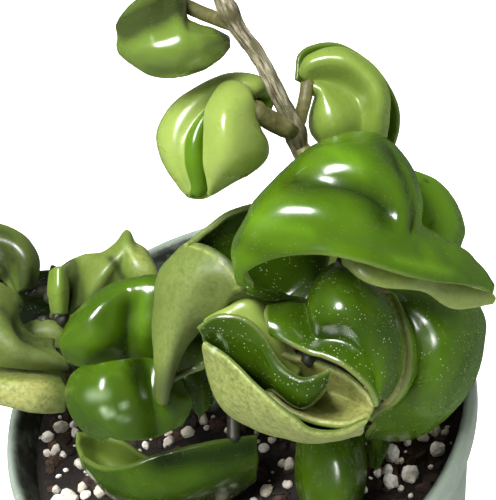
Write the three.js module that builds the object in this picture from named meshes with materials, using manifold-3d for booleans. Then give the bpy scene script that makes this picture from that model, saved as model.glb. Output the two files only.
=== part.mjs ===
// Potted hoya plant with curled, folded, fleshy leaves in a round plastic nursery pot.
// Millimetres, +Z up. The origin is the centre of the pot's flat base.
import * as THREE from 'three';
import { mergeVertices } from 'three/addons/utils/BufferGeometryUtils.js';
import Module from 'manifold-3d';

const wasm = await Module();
wasm.setup();

// ---------------------------------------------------------------- driving sizes
const POT = {
  height: 88,
  rimRadius: 52.5,
  baseRadius: 37,
  wall: 1.4,
  floor: 1.6,
  lipHeight: 7,
  lipWidth: 2.6,
  lipStep: 1.1,
  edge: 0.9,
  footHeight: 1.2,
  drainRadius: 4,
  drainCircle: 24,
  drainCount: 4,
  sides: 48,
};
const SOIL = {
  below: 9,
  gap: 0.35,
  swell: 1.6,
  rings: 9,
  sides: 36,
  lump: 0.7,
  seed: 11,
  holeGap: 0.35,
};
const STEM_SIDES = 8;
const STEM_RINGS = 18;
const STEM_SAMPLES = 61;
const NODE_LENGTH = 0.03;
const NODE_SWELLING = 0.6;
const PETIOLE_SIDES = 6;
const PETIOLE_STEPS = 6;
const PETIOLE_RADIUS = [1.45, 1.25];
const PETIOLE_GAP = 0.6;
const TUCK_GAP = 0.5;
const SLIVER = 0.005;
const THIN_LIMIT = 0.32;
const CURLED = { rows: 7, columns: 9, endWidth: 0.12 };

// The leaves are drawn on a tilted plane through the plant: x to the right, y up, z out of the plane,
// seen from DRAW.distance in front of it. DRAW.rim is where the centre of the pot's rim lies on it.
const DRAW = {
  elevation: THREE.MathUtils.degToRad(47.3),
  roll: THREE.MathUtils.degToRad(19.9),
  distance: 336.2,
  rim: [-2.6, -29.7, -30.2],
};
const BLADE_THICKNESS = 1.5;
const BLADE_CELLS = [6, 11];
const FAR_CELLS = [6, 9];

const COLOURS = {
  pot: 0x8fa392,
  soil: 0x3a2c24,
  stem: 0x6f6846,
  leaf: 0x3f7a22,
  paleLeaf: 0x8ea55a,
};

// ---------------------------------------------------------------- stems: routes chosen by hand, and radii
// Routes are on the same drawing plane as the leaves, from the soil up.
const STEMS = [
  {
    name: 'stem_main',
    route: [
      [29.9, -36.4, -35.2], [29.4, -27.4, -21], [29.1, -17.9, -10.9], [27, -8, -1.7], [19.7, 7.9, 10.4],
      [11.3, 18.3, 18.7], [9.3, 24, 24.2], [6.1, 31, 29.5], [1.9, 39, 35], [-2.5, 45, 39], [-5, 50, 42],
      [-8.9, 58, 48], [-13.4, 65.3, 53.3], [-16.9, 72, 57.9], [-20.4, 79.1, 62.5],
    ],
    radius: [1.9, 1.2],
    nodes: [0.42, 0.68, 0.88],
  },
  {
    name: 'stem_left',
    route: [[-10.5, -37.2, -47.4], [-15.8, -28.4, -35.6], [-19, -20.5, -25], [-18.8, -13, -15], [-15.5, -5.5, -4]],
    radius: [1.8, 1.5],
    nodes: [0.7, 0.97],
  },
  {
    name: 'stem_front',
    route: [[0, -37.5, -46], [-2, -33.5, -34], [-3, -29.5, -18], [-3, -27.5, -5], [-3, -26.5, 6.5]],
    radius: [1.7, 1.4],
    nodes: [0.75, 0.97],
  },
  {
    name: 'stem_back',
    route: [[-23.8, -34.7, -54.2], [-31.5, -29, -43.5], [-36.6, -22, -33.5], [-38, -13, -28.2], [-38, -8, -25.5]],
    radius: [1.7, 1.2],
    nodes: [0.75, 0.97],
  },
];

// ---------------------------------------------------------------- leaves drawn as nets of points
// Each net's rows run from the back edge to the front margin, and its points from left to right.
// `glossy` says which face is the shiny upper one, `stem` which stem carries the leaf.
const LEAVES = [
  {
    name: 'leaf_cap',
    stem: 'stem_main',
    glossy: 1,
    grooves: [
      { depth: 4, width: 2.2, path: [[9, 13.6], [14, 13], [20, 12.2], [24.6, 10], [27.6, 6.8]] },
      { depth: 2.2, width: 0.8, path: [[26.4, 20.6], [29.4, 15.6], [31.3, 11.6], [32.4, 7.6], [32.1, 4]] },
    ],
    net: [
      [[-1.5, 2, 27], [0.8, 6, 26.5], [4.5, 9.9, 25.5], [14, 17, 25.4], [24, 17.5, 21],
        [30, 12.5, 19.5], [33, 7, 20.5], [33.2, 3, 21], [39, -1.2, 23], [44, -3.6, 21.5],
        [48.6, -8.1, 18.8]],
      [[-2.4, 1.8, 31], [0.2, 6.2, 31], [3.1, 10.9, 30.5], [13, 19.9, 28.8], [23.5, 23.2, 25],
        [31, 18.3, 25], [34.1, 10.5, 27.5], [34.2, 5, 28.5], [38.4, 1.9, 28], [44, -1.3, 25.7],
        [49, -7.6, 20.2]],
      [[-2.9, -1, 33.3], [-0.6, 3.6, 36], [3.6, 10.3, 36.8], [13.4, 17.2, 37.2], [22.6, 18.8, 38],
        [29.4, 13.4, 37.6], [32.6, 8, 36.6], [33.4, 3.4, 35.2], [37.5, 0, 32.6], [42.6, -2.6, 29.6],
        [48.9, -8, 21]],
      [[-2.2, -4.4, 33.6], [-1, 1, 38.2], [4.6, 8, 41.2], [13.8, 8.4, 43.6], [21, 6.6, 43.2],
        [27, 3.8, 41.2], [31.4, 1.6, 38.4], [34, -0.6, 36.4], [38.4, -2.4, 34], [43, -4.6, 29.6],
        [48.8, -8.2, 21.2]],
      [[-1.6, -6.9, 32.6], [-0.7, -2.5, 38], [5, 1.2, 40.8], [14, 2.4, 42.6], [22, 0.8, 41.8],
        [28.6, -1.6, 39.4], [33, -3, 37.4], [36, -4, 35.8], [40, -4.9, 33.3], [44, -6.1, 28.8],
        [48.7, -8.4, 21.2]],
      [[1.3, -6.9, 33.2], [0.1, -4.1, 36.9], [5.9, -1.6, 39.6], [14.5, -1, 42.6], [22, -2.4, 42],
        [29, -4.6, 39.3], [33.6, -5.8, 37], [37.5, -6.4, 34.6], [42, -6.9, 31.2], [45.5, -7.5, 27],
        [48.6, -8.6, 20.8]],
    ],
  },
  {
    name: 'leaf_flap',
    stem: 'stem_main',
    root: [0, 0.2],
    glossy: -1,
    clearOf: ['leaf_cap'],
    net: [
      [[19, 6, 27], [23, 6.5, 27.5], [28, 4.5, 27], [33, 1, 26], [36, -1, 24.5], [41, -4, 21],
        [45, -5.5, 18.8]],
      [[18.6, 1.5, 29], [23, 1, 30.3], [28, -0.8, 30.5], [33, -3.3, 29.5], [36.5, -4.8, 27.5],
        [41.5, -6, 23.6], [47, -7.4, 18.6]],
      [[18.8, -1.4, 29.3], [22.8, -4, 31.5], [27.3, -5.6, 31.8], [32, -6.2, 30.6], [36, -6.9, 28],
        [41.5, -9, 24.4], [49.3, -9.4, 17.8]],
      [[19.4, -2.6, 29], [23, -6.2, 31.5], [27.5, -7.6, 31.5], [32, -7.9, 30], [35.6, -8.6, 27.4],
        [41, -11.8, 24], [48.8, -10.9, 18]],
    ],
  },
  {
    name: 'leaf_right_back',
    stem: 'stem_main',
    glossy: 1,
    net: [
      [[26, 14, 4], [31, 15.8, 6], [36.9, 14.1, 8.5], [41.1, 9.6, 9], [42.9, 4, 9], [41.3, -1.3, 8]],
      [[26, 11, 7], [30.5, 12.6, 10], [35.8, 11.6, 13.2], [39.6, 7.8, 14.2], [41, 3.4, 14],
        [39.6, -1.2, 12]],
      [[27, 7, 9], [29.5, 8.2, 11.5], [33.2, 7.6, 14.5], [36.2, 5.4, 15.6], [37.2, 2.2, 15.2],
        [36.2, -1, 13]],
      [[27, 3.5, 8.5], [29, 3.5, 10.5], [31.5, 3.2, 12], [33.4, 2, 13], [34, 0, 12.8],
        [33.6, -1.8, 11.5]],
    ],
  },
  {
    name: 'leaf_left_cup',
    stem: 'stem_left',
    root: [0.2, 0.3],
    at: 0.98,
    glossy: -1,
    cells: [7, 11],
    net: [
      [[-14.5, -25, 8], [2, -19, 9], [14, -8, 8], [16, 2.5, 11], [8, 9.3, 15], [-2, 8.3, 16.5],
        [-8, 4.2, 17.5], [-11.2, 1.5, 18.5]],
      [[-16.5, -27, 6], [-9, -20, 8], [3, -11, 5], [6, -4, 7], [2, 1.5, 10], [-5, 3.5, 13],
        [-9.5, 2.2, 15.5], [-11.8, 1.1, 17.7]],
      [[-17.8, -30, 8], [-17.9, -23, 11], [-17.8, -16, 10.4], [-17.5, -9.6, 12], [-16.8, -4.2, 14],
        [-14.2, -0.9, 15.5], [-12.6, 0.3, 16.5], [-12, 0.8, 17.3]],
      [[-16.9, -31, 9.6], [-16, -22.5, 16.4], [-14.5, -15, 19], [-12.5, -9.5, 21.5], [-11.5, -5, 22.5],
        [-11.5, -2.3, 21.5], [-11.7, -0.6, 19.6], [-11.7, 0.6, 18.4]],
      [[-16.6, -29.2, 8], [-14.2, -21.4, 12.5], [-10.4, -15.6, 15.5], [-6.4, -11.8, 19.8],
        [-6, -5.5, 24.5], [-8.5, -2.5, 23.5], [-10.2, -0.4, 21], [-11.2, 0.8, 19]],
      [[-16.6, -28.6, 7.6], [-14, -21, 9.6], [-9.2, -14.6, 13], [-1.4, -8.4, 23], [-1.6, -7.2, 25.2],
        [-5.2, -2.4, 24.8], [-8.8, 0.2, 22], [-10.9, 1.1, 19.2]],
      [[-15.8, -27.6, 7], [-13.8, -20.6, 7], [-8, -13, 10], [12.3, -11, 15.1], [3.5, -9.3, 22.6],
        [-3.2, -2.3, 25], [-7.4, 0.6, 22.5], [-10.6, 1.1, 19.4]],
    ],
  },
  {
    name: 'leaf_small_mid',
    stem: 'stem_main',
    root: [0, 0.8],
    at: 0.2,
    glossy: -1,
    cells: [5, 9],
    clearOf: ['leaf_left_cup'],
    net: [
      [[-9, -14, 17], [-6.3, -12.1, 17.6], [-3.6, -10, 18], [-1, -8.6, 18.4], [1.8, -9.4, 18.4],
        [3.6, -12.5, 17.6], [6.5, -17.5, 16.5], [11, -23, 15.5]],
      [[-8.6, -15.2, 19.4], [-6, -13.6, 20.6], [-3.4, -12, 21.2], [-0.9, -10.8, 21.6],
        [1.2, -11.8, 21.4], [3.2, -15, 20.8], [6.2, -19.6, 19.8], [10, -25, 18]],
      [[-8, -16.4, 19.4], [-5.6, -15.6, 20.6], [-3, -14.6, 21.2], [-1, -14.2, 21.4],
        [0.6, -15.4, 21.2], [2.6, -18.8, 20], [5.4, -23.5, 18], [8.5, -28, 16.5]],
    ],
  },
  {
    name: 'leaf_front_left',
    stem: 'stem_front',
    root: [0.5, 0.2],
    glossy: 1,
    thickness: 1.4,
    net: [
      [[-10.2, -15.4, 27], [-6.5, -12.9, 29], [-1, -13.3, 30], [3.2, -16.8, 30], [6.3, -22, 30],
        [10.3, -25.2, 30.5], [13.6, -24.9, 31], [16.6, -23.6, 30.5]],
      [[-9.6, -16.4, 26.5], [-6, -15.2, 28], [-1.4, -16, 28.5], [2.6, -19.6, 29], [5.8, -24.4, 29.8],
        [10.2, -27, 31], [13.6, -26.6, 31], [16, -25.2, 30]],
      [[-9.2, -17.4, 25.5], [-5.4, -19, 24], [-1.6, -22.4, 23.5], [2.6, -24.4, 25], [6.4, -28, 27],
        [10.4, -30.8, 28], [13.2, -29.8, 28], [15.4, -27, 27.5]],
      [[-8.6, -19.6, 21], [-5, -24.5, 14.5], [-1.6, -27.5, 11], [2, -29.5, 9], [6.5, -31, 9],
        [10.5, -31.5, 10], [13.5, -30.5, 11], [16, -28.5, 12]],
      [[-8.4, -19.4, 24.5], [-7.3, -26, 19.5], [-4.2, -32, 17], [2, -35.4, 17.6], [7.5, -37, 19.6],
        [12.2, -37.7, 21.6], [17, -37.1, 22.5], [22.4, -35.9, 22]],
      [[-9, -18.9, 26], [-5, -22.6, 27.5], [-0.5, -28, 28.5], [4.6, -32.6, 29.6], [9.4, -35.7, 30.6],
        [13, -36.9, 31], [17.8, -36.9, 30.5], [23.2, -34.9, 28]],
      [[-8.9, -18.4, 27.5], [-4, -21.4, 30], [0, -25.4, 32], [4.6, -29.8, 33.4], [8.8, -33.3, 34],
        [12.2, -35.8, 33.8], [17.6, -36.3, 32.4], [23.9, -33.7, 29.5]],
    ],
  },
  {
    name: 'leaf_front_right',
    stem: 'stem_main',
    root: [0, 0.45],
    glossy: 1,
    clearOf: ['leaf_left_cup'],
    net: [
      [[5, -12, 19], [8.5, -12, 18], [12, -11.5, 18], [13.2, -8, 20.5], [15.5, -4.5, 22.5],
        [19, -2.8, 22.5], [24, -6.5, 22], [28.5, -12, 21], [30.4, -19, 20], [29.9, -25, 19],
        [27, -30, 19]],
      [[3.6, -11.6, 22.5], [8, -11.2, 22], [12, -11, 21.5], [12.8, -8.8, 25.5], [15.6, -5.8, 28],
        [19.5, -4.6, 27.5], [23.6, -8.2, 27], [27.4, -12.9, 26], [29.6, -19.4, 24.5],
        [29.1, -25.2, 23], [26.8, -29.8, 22]],
      [[3.2, -12.6, 24.8], [7.6, -12.9, 24.3], [12.4, -13.2, 22.8], [12.7, -11.6, 27.8],
        [15.8, -9.6, 31], [19.5, -9, 31.7], [22.6, -12, 31.3], [25.6, -16, 30], [27.3, -21, 28.5],
        [27.3, -26, 27], [26, -29.8, 24.5]],
      [[3.4, -14.2, 26], [7.3, -15.4, 26.5], [13, -16.6, 24.8], [14, -14.9, 28.6], [16.8, -13.8, 31.8],
        [19.6, -13.4, 32.8], [22, -15.4, 32.5], [24.2, -18.6, 31], [26, -22.4, 29],
        [26.4, -26.8, 27.8], [25.9, -30.2, 25.5]],
      [[3.9, -15.7, 26.2], [7.5, -17.4, 27], [12.4, -18.8, 26.8], [15.4, -17.8, 26.4],
        [17.8, -17.6, 27], [20, -18.1, 27.6], [22, -19.5, 28], [23.8, -21.8, 28], [25, -24.8, 27.6],
        [25.8, -28, 26.8], [25.8, -30.8, 25.4]],
      [[4.8, -16.7, 25.5], [8, -18.9, 27.5], [12.2, -20.8, 28.4], [14.6, -21.4, 29.2],
        [16.8, -22.3, 30], [18.8, -23.3, 30.4], [20.8, -24.8, 30.3], [22.4, -26.2, 29.8],
        [24.2, -28.2, 28.5], [25.2, -30.2, 26.8], [25.4, -31.4, 25.6]],
    ],
  },
  {
    name: 'leaf_front_lip',
    stem: 'stem_main',
    root: [0, 0.4],
    glossy: -1,
    clearOf: ['leaf_front_left', 'leaf_right_big', 'leaf_small_mid'],
    net: [
      [[2, -22, 18], [6, -20.5, 20], [10, -21.3, 21], [15, -22.8, 21], [20, -25.2, 21.8],
        [23.8, -28.6, 22.5], [25.2, -31, 23.5]],
      [[2, -25, 15], [6, -25, 14], [10.5, -26, 13.5], [15, -27.5, 14], [19.5, -29, 16],
        [22.8, -30.6, 19], [24.8, -31.9, 22.8]],
      [[2.6, -27, 15.5], [6.5, -29.5, 15], [11, -30.4, 16], [15.5, -31.3, 17.4], [19.5, -32, 19.1],
        [22.6, -32.3, 20.8], [24.6, -32.5, 23]],
      [[3.4, -28.2, 19], [7.4, -31.4, 19.5], [11.6, -32.8, 21.1], [15.8, -34, 22.5], [19.6, -34.6, 23],
        [22.4, -33.8, 23.8], [24.4, -32.9, 24]],
      [[4, -28.8, 22], [8, -32, 23.5], [12, -33.9, 25], [16, -34.9, 26], [19.8, -34.9, 26.4],
        [22.4, -34, 26], [24.3, -32.9, 25]],
    ],
  },
  {
    name: 'leaf_right_big',
    stem: 'stem_main',
    root: [0.45, 0],
    glossy: 1,
    thickness: 1.4,
    net: [
      [[26, -5, 3.4], [31, -4, 2.4], [37, -5, 1], [43, -8, -1], [46.8, -13, -3], [46.9, -18.5, -4],
        [45, -26, -5], [40, -32.8, -6], [33, -37.4, -7], [23.4, -37.6, -8]],
      [[27, -7.5, 7.4], [31.5, -7.5, 8.6], [37, -9, 8.5], [41.8, -11.5, 7.8], [44.3, -15.5, 7.3],
        [44.2, -20.4, 7.1], [42, -26.6, 6.1], [37.6, -32, 3.5], [32, -35.4, 0], [23.6, -36.6, -3]],
      [[27.6, -9.5, 9.4], [31.8, -10.5, 11.6], [36, -12.5, 13.3], [38.6, -15.5, 14], [39.6, -19, 14.6],
        [39, -23, 14.1], [37, -27.4, 12.8], [34, -31, 9.2], [30.6, -33.2, 4.6], [24.4, -35.6, 1]],
      [[28.6, -11, 10.9], [31.4, -13, 12.3], [34, -15.5, 13.4], [35.2, -18.2, 13.8], [35.5, -21, 14.1],
        [35, -24, 13.4], [33.8, -27.2, 12.5], [31.8, -30, 9.9], [29.4, -31.8, 6.4], [25, -34.8, 3]],
      [[29.4, -10.6, 12], [31.3, -14, 13.4], [32.9, -17, 13.8], [33.7, -19.6, 13.7],
        [33.8, -22.2, 13.4], [33.3, -25, 12.4], [32.2, -27.6, 11], [30.6, -29.6, 9.3], [28.8, -31, 7],
        [25, -34.2, 3.6]],
      [[28.6, -8.6, 12.5], [30.4, -12, 14.5], [31.6, -15.5, 15.6], [32.3, -19, 16], [32.4, -22, 15.7],
        [32, -25, 14.5], [31, -27.8, 12.6], [29.6, -29.8, 10.2], [28, -31, 7.5], [24.2, -34, 4]],
      [[26, -8, 11], [28, -12, 12], [29.2, -15.5, 12.8], [29.9, -19, 13], [30, -22, 12.6],
        [29.6, -25, 11.6], [28.8, -27.6, 10], [27.6, -29.4, 8], [26.6, -30.6, 6], [23.5, -33.5, 3]],
    ],
  },
  {
    name: 'leaf_left_upper',
    stem: 'stem_left',
    root: [0.75, 0],
    at: 0.7,
    glossy: -1,
    clearOf: ['leaf_left_cup'],
    net: [
      [[-16.6, -5.2, 3], [-19.8, -5.4, 3], [-22, -5.7, 2.6], [-24.2, -6.1, 2.2], [-27, -7.1, 2],
        [-30, -8.8, 1.8], [-33, -11.4, 1.2], [-35.4, -14.2, 0.6], [-36.6, -16.8, 0]],
      [[-16.6, -7, 6.8], [-19.8, -7, 6.8], [-22, -7.3, 6.4], [-24.2, -8, 6.2], [-27, -9.4, 7],
        [-29.8, -11, 7.4], [-32.4, -13.1, 7], [-34.6, -15.4, 6], [-37.2, -17.8, 2]],
      [[-16.4, -11, 7], [-19.7, -11, 7.2], [-22, -12, 6], [-24.2, -13, 5], [-27, -14, 6.8],
        [-29.8, -15, 8], [-32, -16.2, 7.8], [-34, -17.4, 6.4], [-37.4, -19, 2.4]],
      [[-16.4, -16, 6], [-19.7, -16.4, 6.2], [-22, -17.2, 5.2], [-24.2, -17.8, 4], [-27, -18.4, 5.8],
        [-29.6, -18.9, 7], [-31.9, -19.3, 6.8], [-33.8, -19.6, 5.4], [-37.2, -20.2, 1.8]],
      [[-16.6, -20.6, 1], [-19.7, -21.6, 0.2], [-22, -22.4, -0.8], [-24.2, -23, -0.8],
        [-27, -23.6, -0.4], [-29.8, -23.9, -0.2], [-32.4, -23.5, 0.8], [-34.8, -22.7, 0.2],
        [-36.6, -21.4, -0.6]],
    ],
  },
  {
    name: 'leaf_left_lower',
    stem: 'stem_left',
    root: [0.9, 0],
    at: 0.55,
    glossy: -1,
    clearOf: ['leaf_left_upper'],
    net: [
      [[-32.5, -23.4, 5], [-35.2, -25.5, 4.5], [-36.2, -29, 4], [-35, -33, 3.5], [-32.5, -36.2, 3],
        [-28.5, -38.3, 2.5]],
      [[-30.5, -23.1, 9], [-32.7, -25.5, 10], [-33.2, -28.7, 10.3], [-32.3, -31.8, 10],
        [-30.3, -34.5, 8.5], [-27.3, -37.3, 6]],
      [[-28, -22.6, 10], [-29, -25.3, 13], [-29, -28.3, 14], [-28.3, -31.3, 13.5], [-27, -34.4, 11.5],
        [-25, -37.8, 8]],
      [[-24.5, -21.9, 8], [-24.3, -24.5, 10.5], [-24, -27.5, 11.3], [-23.3, -30.5, 11],
        [-22.5, -34, 9.5], [-21.5, -38, 6.5]],
      [[-21.5, -21.5, 2.5], [-20.8, -24, 3.5], [-20.3, -27, 4], [-19.5, -30, 4], [-18.8, -33.6, 3.5],
        [-18.3, -37.4, 1.5]],
      [[-18, -22, 1.5], [-17.3, -24.5, 3], [-16.5, -27.3, 4.5], [-15.6, -30, 5.5], [-15.2, -32.8, 4.3],
        [-15.3, -35.8, 1.5]],
      [[-15, -23, -0.5], [-13.8, -25.3, 1], [-12.6, -27.8, 3], [-11.2, -30.3, 3.5], [-11.8, -32.6, 2],
        [-13.4, -34.9, -0.5]],
    ],
  },
  {
    name: 'leaf_mid_dark',
    stem: 'stem_front',
    root: [0.2, 1],
    glossy: 1,
    cells: [5, 9],
    clearOf: ['leaf_left_lower'],
    net: [
      [[-13.8, -22.3, -5.5], [-12.3, -21.2, -5.5], [-10.3, -21.5, -6], [-8, -23.2, -6.5],
        [-6.5, -26.5, -7.5], [-6.1, -31, -8.5]],
      [[-13.8, -24.5, -1.5], [-12.5, -23.8, -0.9], [-11, -24, -0.9], [-9.3, -25.4, -1.5],
        [-8.3, -28, -2.5], [-7.9, -31.5, -4.5]],
      [[-14.3, -27.5, -1.2], [-13.1, -27.2, -0.3], [-11.7, -27.4, -0.1], [-10.3, -28.4, -0.5],
        [-9.5, -30, -1], [-9.1, -32.6, -3.5]],
      [[-14.7, -31, -3.5], [-13.5, -31, -2.5], [-12.1, -31.2, -2.5], [-10.9, -31.8, -3],
        [-10.1, -32.8, -3.5], [-9.7, -34.2, -5.5]],
    ],
  },
  {
    name: 'leaf_low_front',
    stem: 'stem_front',
    glossy: -1,
    net: [
      [[-34.2, -36.4, -16], [-30, -36.8, -19], [-24.5, -38.4, -19.5], [-20, -41.4, -19.5],
        [-13.5, -41.8, -19], [-6, -40.4, -18], [1, -39, -15.5]],
      [[-34.4, -39, -18], [-29.8, -41.4, -22.5], [-24, -43.6, -22.5], [-19.5, -44.6, -22.5],
        [-13.5, -44.8, -22], [-6, -43, -20.5], [1.4, -40.6, -16]],
      [[-33, -42.5, -18], [-28, -48, -19], [-23, -51.5, -19.5], [-18.5, -52.5, -20],
        [-12.5, -52.5, -20], [-5, -50, -19.5], [1.5, -45.5, -14.5]],
      [[-32.5, -42.8, -14.5], [-27.5, -47.5, -13], [-22.5, -49.3, -9.6], [-18, -49.3, -8.6],
        [-12, -48, -8.5], [-5, -45.5, -9], [2, -42, -11]],
      [[-33.4, -41.2, -13.5], [-29.4, -43.2, -11], [-24.4, -43, -7.4], [-19, -41, -6],
        [-13.5, -39.5, -6], [-6, -37.9, -7], [1.8, -36.9, -10]],
    ],
  },
  {
    name: 'leaf_low_bulb',
    stem: 'stem_main',
    glossy: -1,
    net: [
      [[12.9, -33, -18], [10.5, -37, -16.5], [9.9, -42, -15], [10.1, -47, -13], [11.4, -52, -13]],
      [[14.2, -33.5, -13], [12.5, -37, -8.6], [12.2, -42, -6.2], [12.5, -47, -5.2], [13.4, -52, -6]],
      [[17.4, -34, -11], [18.4, -37.4, -4.8], [18.8, -42, -1.7], [19, -47, -0.9], [18.4, -52, -2]],
      [[19.7, -34, -13], [21.4, -37, -10.5], [21.8, -42, -8], [21.6, -47, -6], [20.6, -52, -6]],
      [[20.7, -33.5, -18], [22.7, -37, -16.5], [23.2, -42, -15], [23, -47, -13], [21.7, -52, -13]],
    ],
  },
  {
    name: 'leaf_low_small',
    stem: 'stem_main',
    glossy: -1,
    cells: [5, 7],
    net: [
      [[23, -35, -21], [24, -38.5, -21], [24.6, -41.5, -20], [25.2, -43.8, -19]],
      [[25.7, -35, -19], [26, -38.5, -17.5], [26, -41.3, -17], [25.4, -43.9, -17]],
      [[28.8, -35, -21], [28.3, -38.3, -20], [27.2, -41, -19], [25.7, -43.8, -18.5]],
    ],
  },
  {
    name: 'leaf_top_left',
    stem: 'stem_main',
    root: [0, 0.5],
    at: 0.645,
    glossy: -1,
    grooves: [
      { depth: 3, width: 2.4, path: [[-24.6, 43], [-21.5, 44.6], [-18, 46], [-15.8, 47.8]] },
    ],
    net: [
      [[-25, 44, 30], [-24, 46, 29.5], [-20.5, 49, 29], [-17, 50.4, 29], [-14, 49.5, 30],
        [-12.6, 45.6, 31], [-10, 44, 32], [-7, 42.9, 31.6], [-4.2, 41.5, 31]],
      [[-26, 44, 33], [-24.6, 46.6, 32], [-21.5, 49.8, 30.5], [-17, 51.8, 30.5], [-13.6, 50.6, 33],
        [-12.8, 46, 34], [-10.5, 44.6, 35], [-7, 43.5, 34.5], [-3.7, 41.9, 33]],
      [[-26.2, 43, 35.5], [-23.8, 45.4, 36], [-20.5, 48, 35.5], [-17, 49.4, 35.5], [-14.6, 48.2, 38.5],
        [-12.9, 44, 40], [-10, 42.9, 40], [-6.5, 42.2, 38], [-3.8, 41.5, 34.5]],
      [[-26.2, 42, 36.5], [-23, 42.2, 40.5], [-19.4, 43.3, 42], [-16.2, 43.9, 42.3], [-13.8, 43.2, 43],
        [-11.8, 42.2, 43], [-9.5, 42, 42], [-6.3, 42.2, 38.8], [-3.9, 41.9, 35]],
      [[-26.1, 41, 36.5], [-22.8, 40, 40.8], [-19, 39.3, 42.4], [-16, 39.2, 43], [-13.4, 39.2, 42.8],
        [-11, 39.5, 42], [-9, 39.9, 41], [-6.2, 40.9, 38], [-3.9, 41.6, 34.8]],
      [[-25.6, 40, 35], [-23.4, 38, 37], [-19.5, 35.8, 37.6], [-16, 35.2, 38], [-13, 35.5, 37.8],
        [-10.4, 36.4, 37], [-8.2, 37.5, 36.4], [-5.6, 39.4, 35], [-3.7, 41.4, 33.4]],
      [[-24.8, 40.3, 31], [-22.5, 38.6, 31], [-19, 36.9, 31], [-16, 36.4, 31], [-13, 36.6, 31],
        [-10.6, 37.2, 31], [-8.4, 38, 31], [-6, 39.4, 31], [-4.2, 41.4, 31]],
    ],
  },
  {
    name: 'leaf_top_pouch',
    stem: 'stem_main',
    root: [0.17, 0],
    at: 0.435,
    glossy: 1,
    thickness: 1.3,
    cells: [8, 11],
    net: [
      [[0.7, 29.4, 31.5], [-0.9, 33, 31.5], [-5, 33.4, 32], [-8.2, 28.6, 33], [-8.8, 23, 33.5],
        [-8.9, 17.5, 32.5], [-8.1, 12.9, 30], [-8.2, 11.2, 28.8]],
      [[1.4, 28.2, 31.4], [0, 30, 34], [-2.8, 28.6, 36.5], [-4, 25, 38], [-3.8, 20.6, 37.6],
        [-4.6, 16.8, 35], [-6.6, 13.4, 31], [-8, 11, 28.2]],
      [[2.2, 27, 29.5], [1.2, 26.6, 31], [2.3, 23.7, 31], [3.5, 21.2, 30], [3.1, 18.6, 29.5],
        [0.6, 15.9, 29], [-4, 13.4, 28], [-8, 11.2, 26.8]],
      [[3, 26.6, 25.5], [2, 27, 25], [-0.5, 25.5, 22.5], [-1, 23, 21.5], [-1.5, 19.5, 21.5],
        [-3, 17, 22.5], [-6.5, 13.8, 24.5], [-8.8, 10.4, 25.4]],
      [[3.6, 27.2, 21.8], [4.6, 31, 22.5], [-2, 31.5, 20.5], [-9, 27, 19], [-12, 22.5, 19],
        [-11, 17.4, 20.5], [-9.8, 13.4, 23], [-9.8, 10.2, 24.8]],
      [[4, 28.8, 20.4], [3.4, 33.4, 25], [-4, 34.7, 25], [-13, 30.2, 24.5], [-17.4, 24, 23.5],
        [-16.4, 18, 24], [-12.8, 12.4, 25.2], [-10.8, 10.3, 24.8]],
      [[3, 30.4, 22], [2.2, 32.8, 28.5], [-4.2, 33.6, 29], [-11.4, 29.6, 29.5], [-15.4, 23.7, 29.5],
        [-14.8, 17.4, 29], [-12, 12.6, 27.6], [-11.6, 10.7, 26]],
      [[1.4, 31, 24.4], [0.5, 30.6, 28], [-4.2, 30.6, 28.4], [-8.4, 27.8, 29.2], [-12, 23, 30],
        [-12.5, 17.6, 29.6], [-11.2, 12.9, 28], [-11.5, 11.2, 27.4]],
      [[1.4, 30.8, 25.4], [0.2, 30.2, 28.6], [-4.1, 30, 29.2], [-7.8, 27.5, 30.6], [-10.2, 23.1, 31.4],
        [-10.4, 17.8, 31], [-9.7, 13, 29], [-10.4, 10.8, 27.4]],
      [[1.4, 30.4, 26.6], [0.4, 29.8, 28.2], [-4, 29.2, 28.3], [-6.2, 26.8, 28.8], [-7.4, 23, 29.4],
        [-7.4, 18, 29], [-7.6, 13.4, 27.6], [-9.6, 10.4, 26.6]],
    ],
  },
  {
    name: 'leaf_top_hook',
    stem: 'stem_main',
    root: [0.5, 0],
    at: 0.43,
    glossy: 1,
    thickness: 1.3,
    net: [
      [[9.4, 34, 19.5], [10.6, 39.8, 18.5], [17.5, 41.5, 17.5], [25, 37.2, 17], [29.6, 30.4, 17],
        [30.4, 24.6, 16], [28.6, 18.5, 14]],
      [[11, 33.2, 18.5], [13.4, 36.4, 15.5], [17, 34.4, 14], [19.6, 31.2, 13.5], [20.5, 27.5, 13],
        [20.5, 23.4, 12.5], [21.5, 18.5, 11.5]],
      [[12.4, 32, 19], [14.1, 30.7, 18.5], [13.1, 28.5, 18.5], [12.8, 26, 18.5], [13.3, 23.6, 18],
        [15, 21.4, 17], [17.6, 18.5, 15]],
      [[12.3, 32.8, 21], [14.6, 31.8, 22], [15.6, 29.4, 23], [16.8, 27.4, 23.4], [17.4, 25, 23],
        [18.3, 22.2, 21], [20, 18.4, 17.5]],
      [[11.6, 33.6, 21.5], [14.2, 34, 20.5], [18.2, 33, 19.8], [21.4, 30.8, 19.6], [22.6, 27.8, 19.8],
        [22.7, 23.8, 18.8], [23, 18.6, 16]],
      [[10.6, 34.6, 22], [13.2, 37.4, 24], [19, 37.8, 25], [24.2, 34, 25], [26.1, 29.6, 24.4],
        [25.9, 24.8, 22], [25.4, 18.8, 17]],
      [[9.9, 35.6, 21.6], [12.4, 39, 22], [18.6, 40.4, 22], [25, 36.9, 22], [28, 31.4, 22],
        [28, 25.6, 19.6], [27, 19, 15.6]],
    ],
  },
  {
    name: 'leaf_edge_dome',
    stem: 'stem_back',
    root: [0, 1],
    glossy: -1,
    cells: [5, 9],
    clearOf: ['leaf_edge_roll'],
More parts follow.
